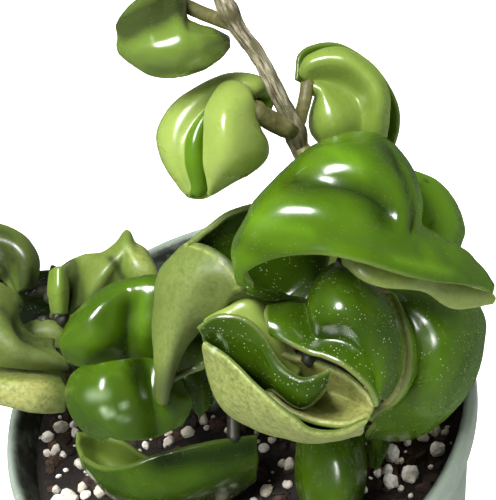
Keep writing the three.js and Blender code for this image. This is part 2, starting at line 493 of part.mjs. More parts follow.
    net: [
      [[-60, 1, -26], [-55, 4.5, -25], [-50, 5, -24], [-45.5, 3.2, -23], [-42.4, -0.5, -22],
        [-41.9, -4, -22], [-43, -8, -23]],
      [[-58, -1, -20], [-54, 1.5, -19.5], [-50, 2, -19], [-46.6, 0.8, -18], [-44.6, -1.6, -17.5],
        [-44.2, -4.4, -18], [-45, -8, -20]],
      [[-56, -3, -21], [-53, -1.5, -22], [-50, -1, -22.5], [-48.2, -2.8, -22], [-47.2, -4.8, -22],
        [-46.4, -7, -22], [-46, -9.6, -22.6]],
      [[-55, -6, -18], [-52.5, -5, -18], [-50, -5, -18.6], [-48.4, -6.6, -20.4], [-47, -8.8, -21],
        [-45.7, -10.8, -21.5], [-44.6, -11.4, -22.5]],
    ],
  },
  {
    name: 'leaf_edge_crest',
    stem: 'stem_back',
    root: [0.9, 0],
    at: 0.75,
    glossy: -1,
    cells: [5, 9],
    clearOf: ['leaf_edge_roll'],
    net: [
      [[-39, -4.5, -21], [-36, -2.2, -20], [-33, -1, -18.5], [-29, -0.6, -18], [-26, 1.6, -18],
        [-24.2, 3.9, -18], [-23, 1.4, -17.5], [-20.8, 0, -17], [-19.3, -3, -16]],
      [[-37.5, -6, -20], [-35, -5.5, -21], [-32, -4, -16.5], [-28.5, -3.2, -13], [-26, -1.5, -13.5],
        [-24.4, 0.5, -13.5], [-22.8, -0.8, -12.5], [-20.5, -2, -12.5], [-18.4, -4.5, -13]],
      [[-37, -10, -21], [-35.2, -9, -23], [-33, -7.5, -17], [-30, -6.6, -13], [-27.5, -5.5, -14.5],
        [-25, -4.5, -14.5], [-22.5, -4.8, -12], [-20, -5.5, -12], [-17.5, -7, -13]],
      [[-37, -14, -23], [-35.6, -13, -25], [-34.3, -12, -19], [-32, -10.5, -16], [-29, -9.5, -17],
        [-26, -9, -18], [-23, -9, -17], [-20, -9, -17], [-17.5, -10, -18]],
    ],
  },
  {
    name: 'leaf_edge_roll',
    stem: 'stem_back',
    root: [0, 0.67],
    glossy: 1,
    cells: [5, 7],
    net: [
      [[-39.3, -4, -16.2], [-39.8, -8, -16.2], [-39, -12.8, -17.2]],
      [[-37.8, -3.2, -13.2], [-37.9, -8, -12.4], [-37.7, -12.8, -14.7]],
      [[-36.6, -3.8, -15.7], [-36.1, -8, -15.2], [-36.4, -12.8, -16.7]],
    ],
  },
  {
    name: 'leaf_edge_hollow',
    stem: 'stem_back',
    root: [0, 1],
    glossy: 1,
    cells: [5, 7],
    net: [
      [[-52, -6, -29], [-47, -5, -29.5], [-42.3, -4.3, -29.5], [-38.6, -4, -29]],
      [[-52, -10, -32], [-47, -10, -33.5], [-42.5, -9.5, -34], [-38.5, -9, -33.5]],
      [[-51, -15.5, -32], [-46.5, -15.5, -33], [-42, -15, -34], [-38, -14.6, -34.5]],
    ],
  },
  {
    name: 'leaf_edge_fold',
    stem: 'stem_back',
    root: [1, 1],
    glossy: -1,
    cells: [5, 9],
    net: [
      [[-62, -4, -16], [-55, -5.3, -16], [-49.6, -6.7, -17], [-46.4, -9.6, -17], [-46, -13.8, -17],
        [-43.5, -17, -17], [-38.6, -18, -17]],
      [[-62, -8, -11], [-56, -9.5, -10], [-51, -11, -10], [-48.3, -13.5, -11], [-47, -17, -11],
        [-43.5, -19.5, -12], [-38.5, -20, -13.5]],
      [[-60, -14, -9], [-55, -16, -7.5], [-50.5, -17.5, -8], [-47, -19.5, -8], [-43, -21, -9.5],
        [-39, -21.8, -11], [-36, -22.6, -13.5]],
      [[-60, -19, -12], [-55, -21.5, -12], [-50.5, -23, -12], [-46, -23.6, -12.5], [-42, -23.8, -14],
        [-38.5, -23.8, -16], [-35.5, -23.7, -18]],
    ],
  },
  {
    name: 'leaf_edge_lens',
    stem: 'stem_back',
    root: [0, 0.5],
    at: 0.6,
    glossy: -1,
    cells: [5, 7],
    clearOf: ['leaf_edge_crest', 'leaf_edge_fold'],
    net: [
      [[-46, -16, -26], [-43, -14.2, -25.5], [-41, -13.9, -25], [-38.5, -14.4, -25],
        [-36.6, -15.9, -25.5]],
      [[-46, -17.5, -24.5], [-43, -16.5, -23.5], [-41, -16.3, -23.3], [-38.5, -16.5, -23.5],
        [-36.4, -17.4, -24.5]],
      [[-45.5, -20, -25], [-43, -19.5, -25], [-41, -19.3, -25], [-38.5, -19.5, -25],
        [-36.5, -20, -25.5]],
    ],
  },
  {
    name: 'leaf_edge_pale',
    stem: 'stem_back',
    root: [1, 1],
    glossy: -1,
    cells: [6, 9],
    net: [
      [[-62, -21.8, -21], [-55, -22.8, -21], [-49.6, -23.4, -21], [-45, -23.4, -21],
        [-41, -23.8, -21.5], [-37.5, -24.6, -22.5]],
      [[-62, -24, -13.6], [-55, -25.1, -12.6], [-49.6, -25.5, -12.6], [-45, -25.6, -13],
        [-41, -25.9, -14], [-37, -26.4, -16.6]],
      [[-62, -25.5, -9], [-55, -26.5, -8], [-49.5, -27, -8], [-45, -27.2, -8.5], [-41, -27.5, -10],
        [-36.5, -28, -13.5]],
      [[-61, -28.5, -11], [-55, -29.5, -9.5], [-49.6, -30.2, -9.5], [-45, -31.2, -10],
        [-41, -31.8, -11.5], [-36.5, -31.8, -15]],
      [[-60, -28, -17], [-55, -29, -17], [-49.6, -29.5, -17], [-45, -30.3, -17], [-41, -30.6, -18],
        [-37, -30.5, -19]],
    ],
  },
];

// The leaves on the far side and above, which have the same habit: `base` is the foot of the blade,
// `heading` its compass turn from +X, `rise` its slope there, `arch`, `fold` and `wave` its curl.
const FAR_LEAVES = [
  {
    name: 'leaf_far_centre', glossy: -1, stem: 'stem_main', base: [29, 2, 104], heading: 80, rise: 20,
    length: 30, width: 27, arch: 110, fold: 150, wave: 1.5,
  },
  {
    name: 'leaf_far_right', glossy: -1, stem: 'stem_main', base: [42, -8, 100], heading: 80, rise: 0,
    length: 22, width: 24, arch: 90, fold: 160, wave: 1.5,
  },
  {
    name: 'leaf_far_left', glossy: -1, stem: 'stem_left', base: [-11, 13, 98], heading: 92, rise: 12,
    length: 28, width: 26, arch: 105, fold: 150, wave: 1.6,
  },
  {
    name: 'leaf_far_middle', glossy: -1, stem: 'stem_left', base: [-4, 10, 104], heading: 45, rise: 15,
    length: 28, width: 25, arch: 95, fold: 165, wave: 1.4,
  },
  {
    name: 'leaf_far_low', glossy: -1, stem: 'stem_back', base: [-31, 25, 93], heading: 95, rise: 20,
    length: 22, width: 22, arch: 80, fold: 140, wave: 1.2,
  },
  {
    name: 'leaf_tip_left', glossy: -1, stem: 'stem_main', base: [15.5, 7, 217], heading: 175, rise: 55,
    length: 17, width: 14, arch: 110, fold: 140, wave: 0.6,
  },
  {
    name: 'leaf_tip_right', glossy: -1, stem: 'stem_main', base: [25, 8, 217], heading: 10, rise: 60,
    length: 15, width: 12, arch: 100, fold: 140, wave: 0.6,
  },
];

// ---------------------------------------------------------------- drawing plane to the part's frame
const forward = new THREE.Vector3(0, Math.cos(DRAW.elevation), -Math.sin(DRAW.elevation));
const level = new THREE.Vector3(1, 0, 0);
const steep = level.clone().cross(forward);
const drawRight = level.clone().multiplyScalar(Math.cos(DRAW.roll)).addScaledVector(steep, -Math.sin(DRAW.roll));
const drawUp = level.clone().multiplyScalar(Math.sin(DRAW.roll)).addScaledVector(steep, Math.cos(DRAW.roll));

function fromEye([x, y, z]) {
  const reach = DRAW.distance - z;
  return forward.clone().multiplyScalar(reach)
    .addScaledVector(drawRight, (x * reach) / DRAW.distance)
    .addScaledVector(drawUp, (y * reach) / DRAW.distance);
}

const eye = new THREE.Vector3(0, 0, POT.height).sub(fromEye(DRAW.rim));

function fromDrawing(point) {
  return eye.clone().add(fromEye(point));
}

// ---------------------------------------------------------------- smooth rows through a net of points
// Catmull-Rom weights of `count` even samples along `size` points, the ends carried on straight.
function sampleWeights(size, count) {
  const rows = [];
  for (let k = 0; k < count; k += 1) {
    const place = (k * (size - 1)) / (count - 1);
    const start = Math.min(Math.floor(place), size - 2);
    const f = place - start;
    const padded = new Array(size + 2).fill(0);
    padded[start] += -0.5 * f + f * f - 0.5 * f ** 3;
    padded[start + 1] += 1 - 2.5 * f * f + 1.5 * f ** 3;
    padded[start + 2] += 0.5 * f + 2 * f * f - 1.5 * f ** 3;
    padded[start + 3] += -0.5 * f * f + 0.5 * f ** 3;
    padded[1] += 2 * padded[0];
    padded[2] -= padded[0];
    padded[size] += 2 * padded[size + 1];
    padded[size - 1] -= padded[size + 1];
    rows.push(padded.slice(1, size + 1));
  }
  return rows;
}

function blend(points, weights) {
  const sum = points[0].map(() => 0);
  points.forEach((point, i) => point.forEach((value, axis) => {
    sum[axis] += value * weights[i];
  }));
  return sum;
}

function sampleNet(net, rowCount, columnCount) {
  const down = sampleWeights(net.length, rowCount);
  const across = sampleWeights(net[0].length, columnCount);
  const columns = net.map((row) => across.map((weights) => blend(row, weights)));
  return down.map((weights) => across.map((_, j) => blend(columns.map((row) => row[j]), weights)));
}

function grooveDepth(grooves, [x, y]) {
  let depth = 0;
  for (const groove of grooves) {
    const trail = sampleWeights(groove.path.length, 24).map((weights) => blend(groove.path, weights));
    const near = Math.min(...trail.map(([gx, gy]) => Math.hypot(x - gx, y - gy)));
    depth += groove.depth * Math.exp(-((near / groove.width) ** 2));
  }
  return depth;
}

// ---------------------------------------------------------------- solids
function geometryOf(positions, faces) {
  const geometry = new THREE.BufferGeometry();
  geometry.setAttribute('position', new THREE.Float32BufferAttribute(positions, 3));
  geometry.setIndex(faces);
  return geometry;
}

function toSolid(geometry) {
  const bare = geometry.clone();
  bare.deleteAttribute('normal');
  bare.deleteAttribute('uv');
  const merged = mergeVertices(bare, 1e-4);
  return new wasm.Manifold(new wasm.Mesh({
    numProp: 3,
    vertProperties: new Float32Array(merged.attributes.position.array),
    triVerts: new Uint32Array(merged.index.array),
  }));
}

// Slivers that a cut or join leaves are closed up.
function toGeometry(solid) {
  const mesh = solid.simplify(SLIVER).getMesh();
  const positions = [];
  for (let i = 0; i < mesh.numVert; i += 1) {
    positions.push(...mesh.vertProperties.subarray(i * mesh.numProp, i * mesh.numProp + 3));
  }
  const geometry = geometryOf(positions, Array.from(mesh.triVerts));
  const flat = geometry.toNonIndexed();
  flat.computeVertexNormals();
  return flat;
}

// A closed tube through the points with a radius at each, ending in flat caps.
function tubeSolid(points, radii, sides) {
  const positions = [];
  const faces = [];
  const last = points.length - 1;
  let normal = new THREE.Vector3();
  points.forEach((point, i) => {
    const tangent = points[Math.min(i + 1, last)].clone().sub(points[Math.max(i - 1, 0)]).normalize();
    if (i === 0) {
      const helper = Math.abs(tangent.x) < 0.8 ? new THREE.Vector3(1, 0, 0) : new THREE.Vector3(0, 1, 0);
      normal = helper.cross(tangent);
    }
    normal.addScaledVector(tangent, -normal.dot(tangent)).normalize();
    const side = tangent.clone().cross(normal);
    for (let k = 0; k < sides; k += 1) {
      const angle = (2 * Math.PI * k) / sides;
      const corner = point.clone()
        .addScaledVector(normal, radii[i] * Math.cos(angle))
        .addScaledVector(side, radii[i] * Math.sin(angle));
      positions.push(...corner.toArray());
    }
  });
  for (let i = 0; i < last; i += 1) {
    for (let k = 0; k < sides; k += 1) {
      const a = i * sides + k;
      const b = i * sides + ((k + 1) % sides);
      faces.push(a, b, b + sides, a, b + sides, a + sides);
    }
  }
  for (let k = 1; k < sides - 1; k += 1) {
    faces.push(0, k + 1, k);
    faces.push(last * sides, last * sides + k, last * sides + k + 1);
  }
  return toSolid(geometryOf(positions, faces));
}

// ---------------------------------------------------------------- leaf blades
function bladeGrid(leaf) {
  const [rowCount, columnCount] = leaf.cells ?? BLADE_CELLS;
  const grid = sampleNet(leaf.net, rowCount, columnCount);
  return grid.map((row) => row.map(([x, y, z]) => (
    leaf.world ? new THREE.Vector3(x, y, z) : fromDrawing([x, y, z - grooveDepth(leaf.grooves ?? [], [x, y])])
  )));
}

function gridNormals(grid) {
  const lastRow = grid.length - 1;
  const lastColumn = grid[0].length - 1;
  return grid.map((row, i) => row.map((_, j) => {
    const down = grid[Math.min(i + 1, lastRow)][j].clone().sub(grid[Math.max(i - 1, 0)][j]);
    const across = row[Math.min(j + 1, lastColumn)].clone().sub(row[Math.max(j - 1, 0)]);
    return down.cross(across).normalize();
  }));
}

// The two triangles of each cell of a grid, as [row, column] corners, split alike on both faces.
function cellTriangles(rowCount, columnCount) {
  const triangles = [];
  for (let i = 0; i < rowCount - 1; i += 1) {
    for (let j = 0; j < columnCount - 1; j += 1) {
      triangles.push([[i, j], [i + 1, j], [i + 1, j + 1]]);
      triangles.push([[i, j], [i + 1, j + 1], [i, j + 1]]);
    }
  }
  return triangles;
}

function faceNormal([a, b, c]) {
  return b.clone().sub(a).cross(c.clone().sub(a));
}

// Half the thickness at each corner, thinned where a face would turn over on itself.
function halfThickness(grid, normals, triangles, thickness) {
  const half = grid.map((row) => row.map(() => thickness / 2));
  for (let pass = 0; pass < 12; pass += 1) {
    for (const corners of triangles) {
      const middle = faceNormal(corners.map(([i, j]) => grid[i][j]));
      const turned = [1, -1].some((side) => {
        const moved = corners.map(([i, j]) => grid[i][j].clone().addScaledVector(normals[i][j], side * half[i][j]));
        return faceNormal(moved).dot(middle) < 0.15 * middle.lengthSq();
      });
      if (turned) {
        corners.forEach(([i, j]) => {
          half[i][j] = Math.max(THIN_LIMIT, half[i][j] * 0.85);
        });
      }
    }
  }
  return half;
}

// The grid with its margin carried outward by `reach`.
function widenedGrid(grid, reach) {
  const lastRow = grid.length - 1;
  const lastColumn = grid[0].length - 1;
  return grid.map((row, i) => row.map((point, j) => {
    const inner = grid[THREE.MathUtils.clamp(i, 1, lastRow - 1)][THREE.MathUtils.clamp(j, 1, lastColumn - 1)];
    return point.clone().addScaledVector(point.clone().sub(inner).normalize(), reach);
  }));
}

// The blade: its grid thickened both ways and closed round the margin. `swell` grows it all round.
function bladeSolid(leaf, swell = 0) {
  const grid = widenedGrid(bladeGrid(leaf), swell);
  const normals = gridNormals(grid);
  const rowCount = grid.length;
  const columnCount = grid[0].length;
  const triangles = cellTriangles(rowCount, columnCount);
  const half = halfThickness(grid, normals, triangles, leaf.thickness ?? BLADE_THICKNESS);
  const positions = [];
  const faces = [];
  for (const side of [1, -1]) {
    grid.forEach((row, i) => row.forEach((point, j) => {
      positions.push(...point.clone().addScaledVector(normals[i][j], side * (half[i][j] + swell)).toArray());
    }));
  }
  const layer = rowCount * columnCount;
  const at = ([i, j]) => i * columnCount + j;
  for (const corners of triangles) {
    const [a, b, c] = corners.map(at);
    faces.push(a, b, c, layer + a, layer + c, layer + b);
  }
  const margin = [];
  for (let i = 0; i < rowCount - 1; i += 1) margin.push([i, 0]);
  for (let j = 0; j < columnCount - 1; j += 1) margin.push([rowCount - 1, j]);
  for (let i = rowCount - 1; i > 0; i -= 1) margin.push([i, columnCount - 1]);
  for (let j = columnCount - 1; j > 0; j -= 1) margin.push([0, j]);
  margin.forEach((corner, k) => {
    const a = at(corner);
    const b = at(margin[(k + 1) % margin.length]);
    faces.push(b, a, layer + a, b, layer + a, layer + b);
  });
  return toSolid(geometryOf(positions, faces));
}

// ---------------------------------------------------------------- stems and leaf stalks
function stemRoute(stem, count) {
  return sampleWeights(stem.route.length, count)
    .map((weights) => fromDrawing(blend(stem.route, weights)));
}

function stemRadius(stem, along) {
  const swelling = stem.nodes.reduce((sum, node) => sum + Math.exp(-(((along - node) / NODE_LENGTH) ** 2)), 0);
  return THREE.MathUtils.lerp(stem.radius[0], stem.radius[1], along) + NODE_SWELLING * swelling;
}

function stemSolid(stem, extra = 0) {
  const points = stemRoute(stem, STEM_RINGS);
  const foot = points[0].clone().sub(points[1]).normalize();
  points[0].addScaledVector(foot, extra);
  const radii = points.map((_, i) => stemRadius(stem, i / (STEM_RINGS - 1)) + extra);
  return tubeSolid(points, radii, STEM_SIDES);
}

function marginOf(grid) {
  const lastColumn = grid[0].length - 1;
  return grid.flatMap((row, i) => (i === 0 || i === grid.length - 1 ? row : [row[0], row[lastColumn]]));
}

// A leaf's stalk runs from its root on the blade to just short of its stem.
function petioleSolid(leaf, swell = 0) {
  const stem = STEMS.find(({ name }) => name === leaf.stem);
  const grid = bladeGrid(leaf);
  const roots = leaf.root
    ? [grid[Math.round(leaf.root[0] * (grid.length - 1))][Math.round(leaf.root[1] * (grid[0].length - 1))]]
    : marginOf(grid);
  const route = stemRoute(stem, STEM_SAMPLES);
  const stops = leaf.at === undefined ? route.map((_, i) => i) : [Math.round(leaf.at * (STEM_SAMPLES - 1))];
  let best = null;
  for (const root of roots) {
    for (const stop of stops) {
      const length = root.distanceTo(route[stop]);
      if (!best || length < best.length) best = { length, root, stop };
    }
  }
  const axisPoint = route[best.stop];
  const tangent = route[Math.min(best.stop + 1, STEM_SAMPLES - 1)].clone().sub(route[Math.max(best.stop - 1, 0)]);
  tangent.normalize();
  const outward = best.root.clone().sub(axisPoint);
  outward.addScaledVector(tangent, -outward.dot(tangent)).normalize();
  const reach = stemRadius(stem, best.stop / (STEM_SAMPLES - 1)) + PETIOLE_GAP;
  const foot = axisPoint.clone().addScaledVector(outward, reach);
  const bend = foot.distanceTo(best.root) / 3;
  const curve = new THREE.CubicBezierCurve3(
    foot,
    foot.clone().addScaledVector(outward, bend),
    best.root,
    best.root,
  );
  const points = curve.getPoints(PETIOLE_STEPS);
  points[0].addScaledVector(outward, -swell);
  const [footRadius, rootRadius] = PETIOLE_RADIUS;
  const radii = points.map((_, i) => THREE.MathUtils.lerp(footRadius, rootRadius, i / PETIOLE_STEPS) + swell);
  return tubeSolid(points, radii, PETIOLE_SIDES);
}

// A leaf that is tucked against others (`clearOf`) stops short of them.
function leafSolid(leaf) {
  let solid = bladeSolid(leaf).add(petioleSolid(leaf));
  for (const name of leaf.clearOf ?? []) {
    const other = LEAVES.find((candidate) => candidate.name === name);
    solid = solid.subtract(bladeSolid(other, TUCK_GAP)).subtract(petioleSolid(other, TUCK_GAP));
  }
  const bodies = solid.decompose();
  return bodies.reduce((largest, body) => (body.volume() > largest.volume() ? body : largest));
}

// ---------------------------------------------------------------- leaves on the far side
// A curled leaf: its midrib arches over its length, and its sides fold up round the midrib.
function curledNet({ base, heading, rise, length, width, arch, fold, wave }) {
  const rows = [];
  const position = new THREE.Vector3(...base);
  const azimuth = THREE.MathUtils.degToRad(heading);
  const ahead = new THREE.Vector3(Math.cos(azimuth), Math.sin(azimuth), 0);
  const across = new THREE.Vector3(-Math.sin(azimuth), Math.cos(azimuth), 0);
  const upward = new THREE.Vector3(0, 0, 1);
  for (let i = 0; i < CURLED.rows; i += 1) {
    const along = i / (CURLED.rows - 1);
    const slope = THREE.MathUtils.degToRad(rise - arch * along);
    const tangent = ahead.clone().multiplyScalar(Math.cos(slope)).addScaledVector(upward, Math.sin(slope));
    const crown = ahead.clone().multiplyScalar(-Math.sin(slope)).addScaledVector(upward, Math.cos(slope));
    const halfWidth = (width / 2) * (CURLED.endWidth + (1 - CURLED.endWidth) * Math.sin(Math.PI * along ** 0.8) ** 0.7);
    const turn = THREE.MathUtils.degToRad(fold) / 2;
    const row = [];
    for (let j = 0; j < CURLED.columns; j += 1) {
      const side = (2 * j) / (CURLED.columns - 1) - 1;
      const angle = turn * side;
      const radius = halfWidth / turn;
      const ripple = wave * side * side * Math.sin(Math.PI * 2 * along + (side > 0 ? 1 : 2.4));
      const point = position.clone()
        .addScaledVector(across, radius * Math.sin(angle))
        .addScaledVector(crown, radius * (1 - Math.cos(angle)) + ripple);
      row.push(point.toArray());
    }
    rows.push(row);
    position.addScaledVector(tangent, length / (CURLED.rows - 1));
  }
  return rows;
}

// ---------------------------------------------------------------- pot and soil
function potOuterRadius(height) {
  return THREE.MathUtils.mapLinear(height, 0, POT.height, POT.baseRadius, POT.rimRadius - POT.lipStep);
}

function potInnerRadius(height) {
  return potOuterRadius(height) - POT.wall;
}

function potSolid() {
  const top = POT.height;
  const underLip = top - POT.lipHeight;
  const edge = POT.edge;
  const profile = [
    [0, POT.floor],
    [potInnerRadius(POT.floor), POT.floor],
    [potInnerRadius(underLip), underLip],
    [POT.rimRadius - POT.lipWidth, top - 2 * edge],
    [POT.rimRadius - POT.lipWidth + 0.3 * edge, top - 0.4 * edge],
    [POT.rimRadius - POT.lipWidth + edge, top],
    [POT.rimRadius - edge, top],
    [POT.rimRadius - 0.3 * edge, top - 0.3 * edge],
    [POT.rimRadius, top - edge],
    [POT.rimRadius - 0.5, underLip],
    [potOuterRadius(underLip), underLip - 0.6],
    [potOuterRadius(POT.footHeight), POT.footHeight],
    [POT.baseRadius - POT.footHeight, 0],
    [0, 0],
  ].map(([radius, height]) => new THREE.Vector2(radius, height));
  const body = new THREE.LatheGeometry(profile.reverse(), POT.sides);
  body.rotateX(Math.PI / 2);
  let pot = toSolid(body);
  for (let k = 0; k < POT.drainCount; k += 1) {
    const angle = (2 * Math.PI * (k + 0.5)) / POT.drainCount;
    const drain = new THREE.CylinderGeometry(POT.drainRadius, POT.drainRadius, 3 * POT.floor, 16);
    drain.rotateX(Math.PI / 2);
    drain.translate(POT.drainCircle * Math.cos(angle), POT.drainCircle * Math.sin(angle), POT.floor / 2);
    pot = pot.subtract(toSolid(drain));
  }
  return pot;
}

// Even draws between 0 and 1 from a seed.
function seededDraws(seed) {
  let state = seed;
  return () => {
    state = (state * 1664525 + 1013904223) % 4294967296;
    return state / 4294967296;
  };
}

// The soil: a plug of the pot's own taper with a lumpy top and a plain hole for each stem.
function soilSolid() {
  const draw = seededDraws(SOIL.seed);
  const surface = POT.height - SOIL.below;
  const bottom = POT.floor + SOIL.gap;
  const positions = [0, 0, surface + SOIL.swell, 0, 0, bottom];
  const faces = [];
  const ring = (index, k) => 2 + index * SOIL.sides + (k % SOIL.sides);
  for (let i = 1; i <= SOIL.rings; i += 1) {
    const reach = i / SOIL.rings;
    for (let k = 0; k < SOIL.sides; k += 1) {
      const angle = (2 * Math.PI * k) / SOIL.sides;
      const lump = i === SOIL.rings ? 0 : (draw() - 0.5) * 2 * SOIL.lump;
      const height = surface + SOIL.swell * (1 - reach * reach) + lump;
      const radius = reach * (potInnerRadius(surface) - SOIL.gap);
      positions.push(radius * Math.cos(angle), radius * Math.sin(angle), height);
    }
  }
  for (let k = 0; k < SOIL.sides; k += 1) {
    const angle = (2 * Math.PI * k) / SOIL.sides;
    const radius = potInnerRadius(bottom) - SOIL.gap;
    positions.push(radius * Math.cos(angle), radius * Math.sin(angle), bottom);
  }
  for (let k = 0; k < SOIL.sides; k += 1) {
    faces.push(0, ring(0, k), ring(0, k + 1));
    for (let i = 0; i < SOIL.rings; i += 1) {
      faces.push(ring(i, k), ring(i + 1, k), ring(i + 1, k + 1));
      faces.push(ring(i, k), ring(i + 1, k + 1), ring(i, k + 1));
    }
    faces.push(1, ring(SOIL.rings, k + 1), ring(SOIL.rings, k));
  }
  let soil = toSolid(geometryOf(positions, faces));
  for (const stem of STEMS) {
    soil = soil.subtract(stemSolid(stem, SOIL.holeGap));
  }
  return soil;
}

// ---------------------------------------------------------------- the plant
const plant = new THREE.Group();

function addPiece(name, solid, colour, roughness) {
  const material = new THREE.MeshStandardMaterial({ color: colour, roughness, metalness: 0 });
  const mesh = new THREE.Mesh(toGeometry(solid), material);
  mesh.name = name;
  plant.add(mesh);
}

addPiece('pot', potSolid(), COLOURS.pot, 0.5);
addPiece('soil', soilSolid(), COLOURS.soil, 0.95);
for (const stem of STEMS) {
  addPiece(stem.name, stemSolid(stem), COLOURS.stem, 0.8);
}
const farLeaves = FAR_LEAVES.map((form) => ({ ...form, cells: FAR_CELLS, world: true, net: curledNet(form) }));
for (const leaf of [...LEAVES, ...farLeaves]) {
  addPiece(leaf.name, leafSolid(leaf), leaf.glossy > 0 ? COLOURS.leaf : COLOURS.paleLeaf, 0.35);
}

export default plant;
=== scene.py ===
"""Potted hoya plant: curled glossy leaves on woody stems in a sage-green nursery pot, round its CAD frame."""
import math

import bmesh
import bpy
import numpy as np
from mathutils import Matrix, Vector, noise


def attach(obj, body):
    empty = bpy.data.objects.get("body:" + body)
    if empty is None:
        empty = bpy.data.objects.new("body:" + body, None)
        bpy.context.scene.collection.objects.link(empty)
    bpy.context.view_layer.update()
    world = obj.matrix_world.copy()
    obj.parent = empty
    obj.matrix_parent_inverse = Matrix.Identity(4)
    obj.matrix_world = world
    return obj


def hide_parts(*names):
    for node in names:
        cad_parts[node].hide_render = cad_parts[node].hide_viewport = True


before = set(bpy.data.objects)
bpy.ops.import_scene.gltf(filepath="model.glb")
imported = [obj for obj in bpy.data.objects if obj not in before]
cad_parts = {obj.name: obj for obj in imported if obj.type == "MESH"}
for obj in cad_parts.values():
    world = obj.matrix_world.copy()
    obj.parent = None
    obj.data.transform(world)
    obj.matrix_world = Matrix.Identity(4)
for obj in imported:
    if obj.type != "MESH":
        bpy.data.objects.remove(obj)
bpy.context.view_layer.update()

MM = 0.001  # sizes below are in millimetres; meshes are written in metres

# ---------------------------------------------------------------- driving sizes, as in the CAD source
POT = {
    "height": 88.0, "rim_radius": 52.5, "base_radius": 37.0, "wall": 1.4, "floor": 1.6, "edge": 0.9,
    "foot_height": 1.2, "lip_height": 7.0, "lip_width": 2.6, "lip_step": 1.1,
    "drain_radius": 4.0, "drain_circle": 24.0, "drain_count": 4,
}
SOIL = {"below": 9.0, "gap": 0.35, "swell": 1.6}
BLADE_THICKNESS = 1.5
BLADE_CELLS = (6, 11)  # a drawn leaf's rows and columns in the CAD, which place its stalk
FAR_CELLS = (6, 9)
STEM_SAMPLES = 61  # places along a stem where a stalk may start
NODE_LENGTH = 0.03  # a node's reach along its stem, as a share of the stem's length
NODE_SWELLING = 0.6
PETIOLE_GAP = 0.6
CURLED = {
    "rows": 7, "columns": 9, "end_width": 0.12, "widest": 0.8, "fullness": 0.7, "ripple_phases": (2.4, 1.0),
}

# The leaves are drawn on a tilted plane, which is also the camera's: x right, y up, z towards the camera.
DRAW = {
    "elevation": math.radians(47.3),
    "roll": math.radians(19.9),
    "distance": 336.2,
    "rim": (-2.6, -29.7, -30.2),
    "frame_height": 100.0,
}

# ---------------------------------------------------------------- stems: routes on the drawing plane
# "radius" is at the foot and at the tip, "nodes" are places from 0 to 1, and "shade" darkens a hidden stem as
# painted shade.
STEMS = {
    "stem_main": {
        "route": [
            (29.9, -36.4, -35.2), (29.4, -27.4, -21), (29.1, -17.9, -10.9), (27, -8, -1.7), (19.7, 7.9, 10.4),
            (11.3, 18.3, 18.7), (9.3, 24, 24.2), (6.1, 31, 29.5), (1.9, 39, 35), (-2.5, 45, 39), (-5, 50, 42),
            (-8.9, 58, 48), (-13.4, 65.3, 53.3), (-16.9, 72, 57.9), (-20.4, 79.1, 62.5),
        ],
        "radius": (1.9, 1.2),
        "nodes": (0.42, 0.68, 0.88),
    },
    "stem_left": {
        "route": [
            (-10.5, -37.2, -47.4), (-15.8, -28.4, -35.6), (-19, -20.5, -25), (-18.8, -13, -15),
            (-15.5, -5.5, -4),
        ],
        "radius": (1.8, 1.5),
        "nodes": (0.7, 0.97),
    },
    "stem_front": {
        "route": [(0, -37.5, -46), (-2, -33.5, -34), (-3, -29.5, -18), (-3, -27.5, -5), (-3, -26.5, 6.5)],
        "radius": (1.7, 1.4),
        "nodes": (0.75, 0.97),
        "shade": 1.0,
    },
    "stem_back": {
        "route": [
            (-23.8, -34.7, -54.2), (-31.5, -29, -43.5), (-36.6, -22, -33.5), (-38, -13, -28.2),
            (-38, -8, -25.5),
        ],
        "radius": (1.7, 1.2),
        "nodes": (0.75, 0.97),
        "shade": 1.0,
    },
}
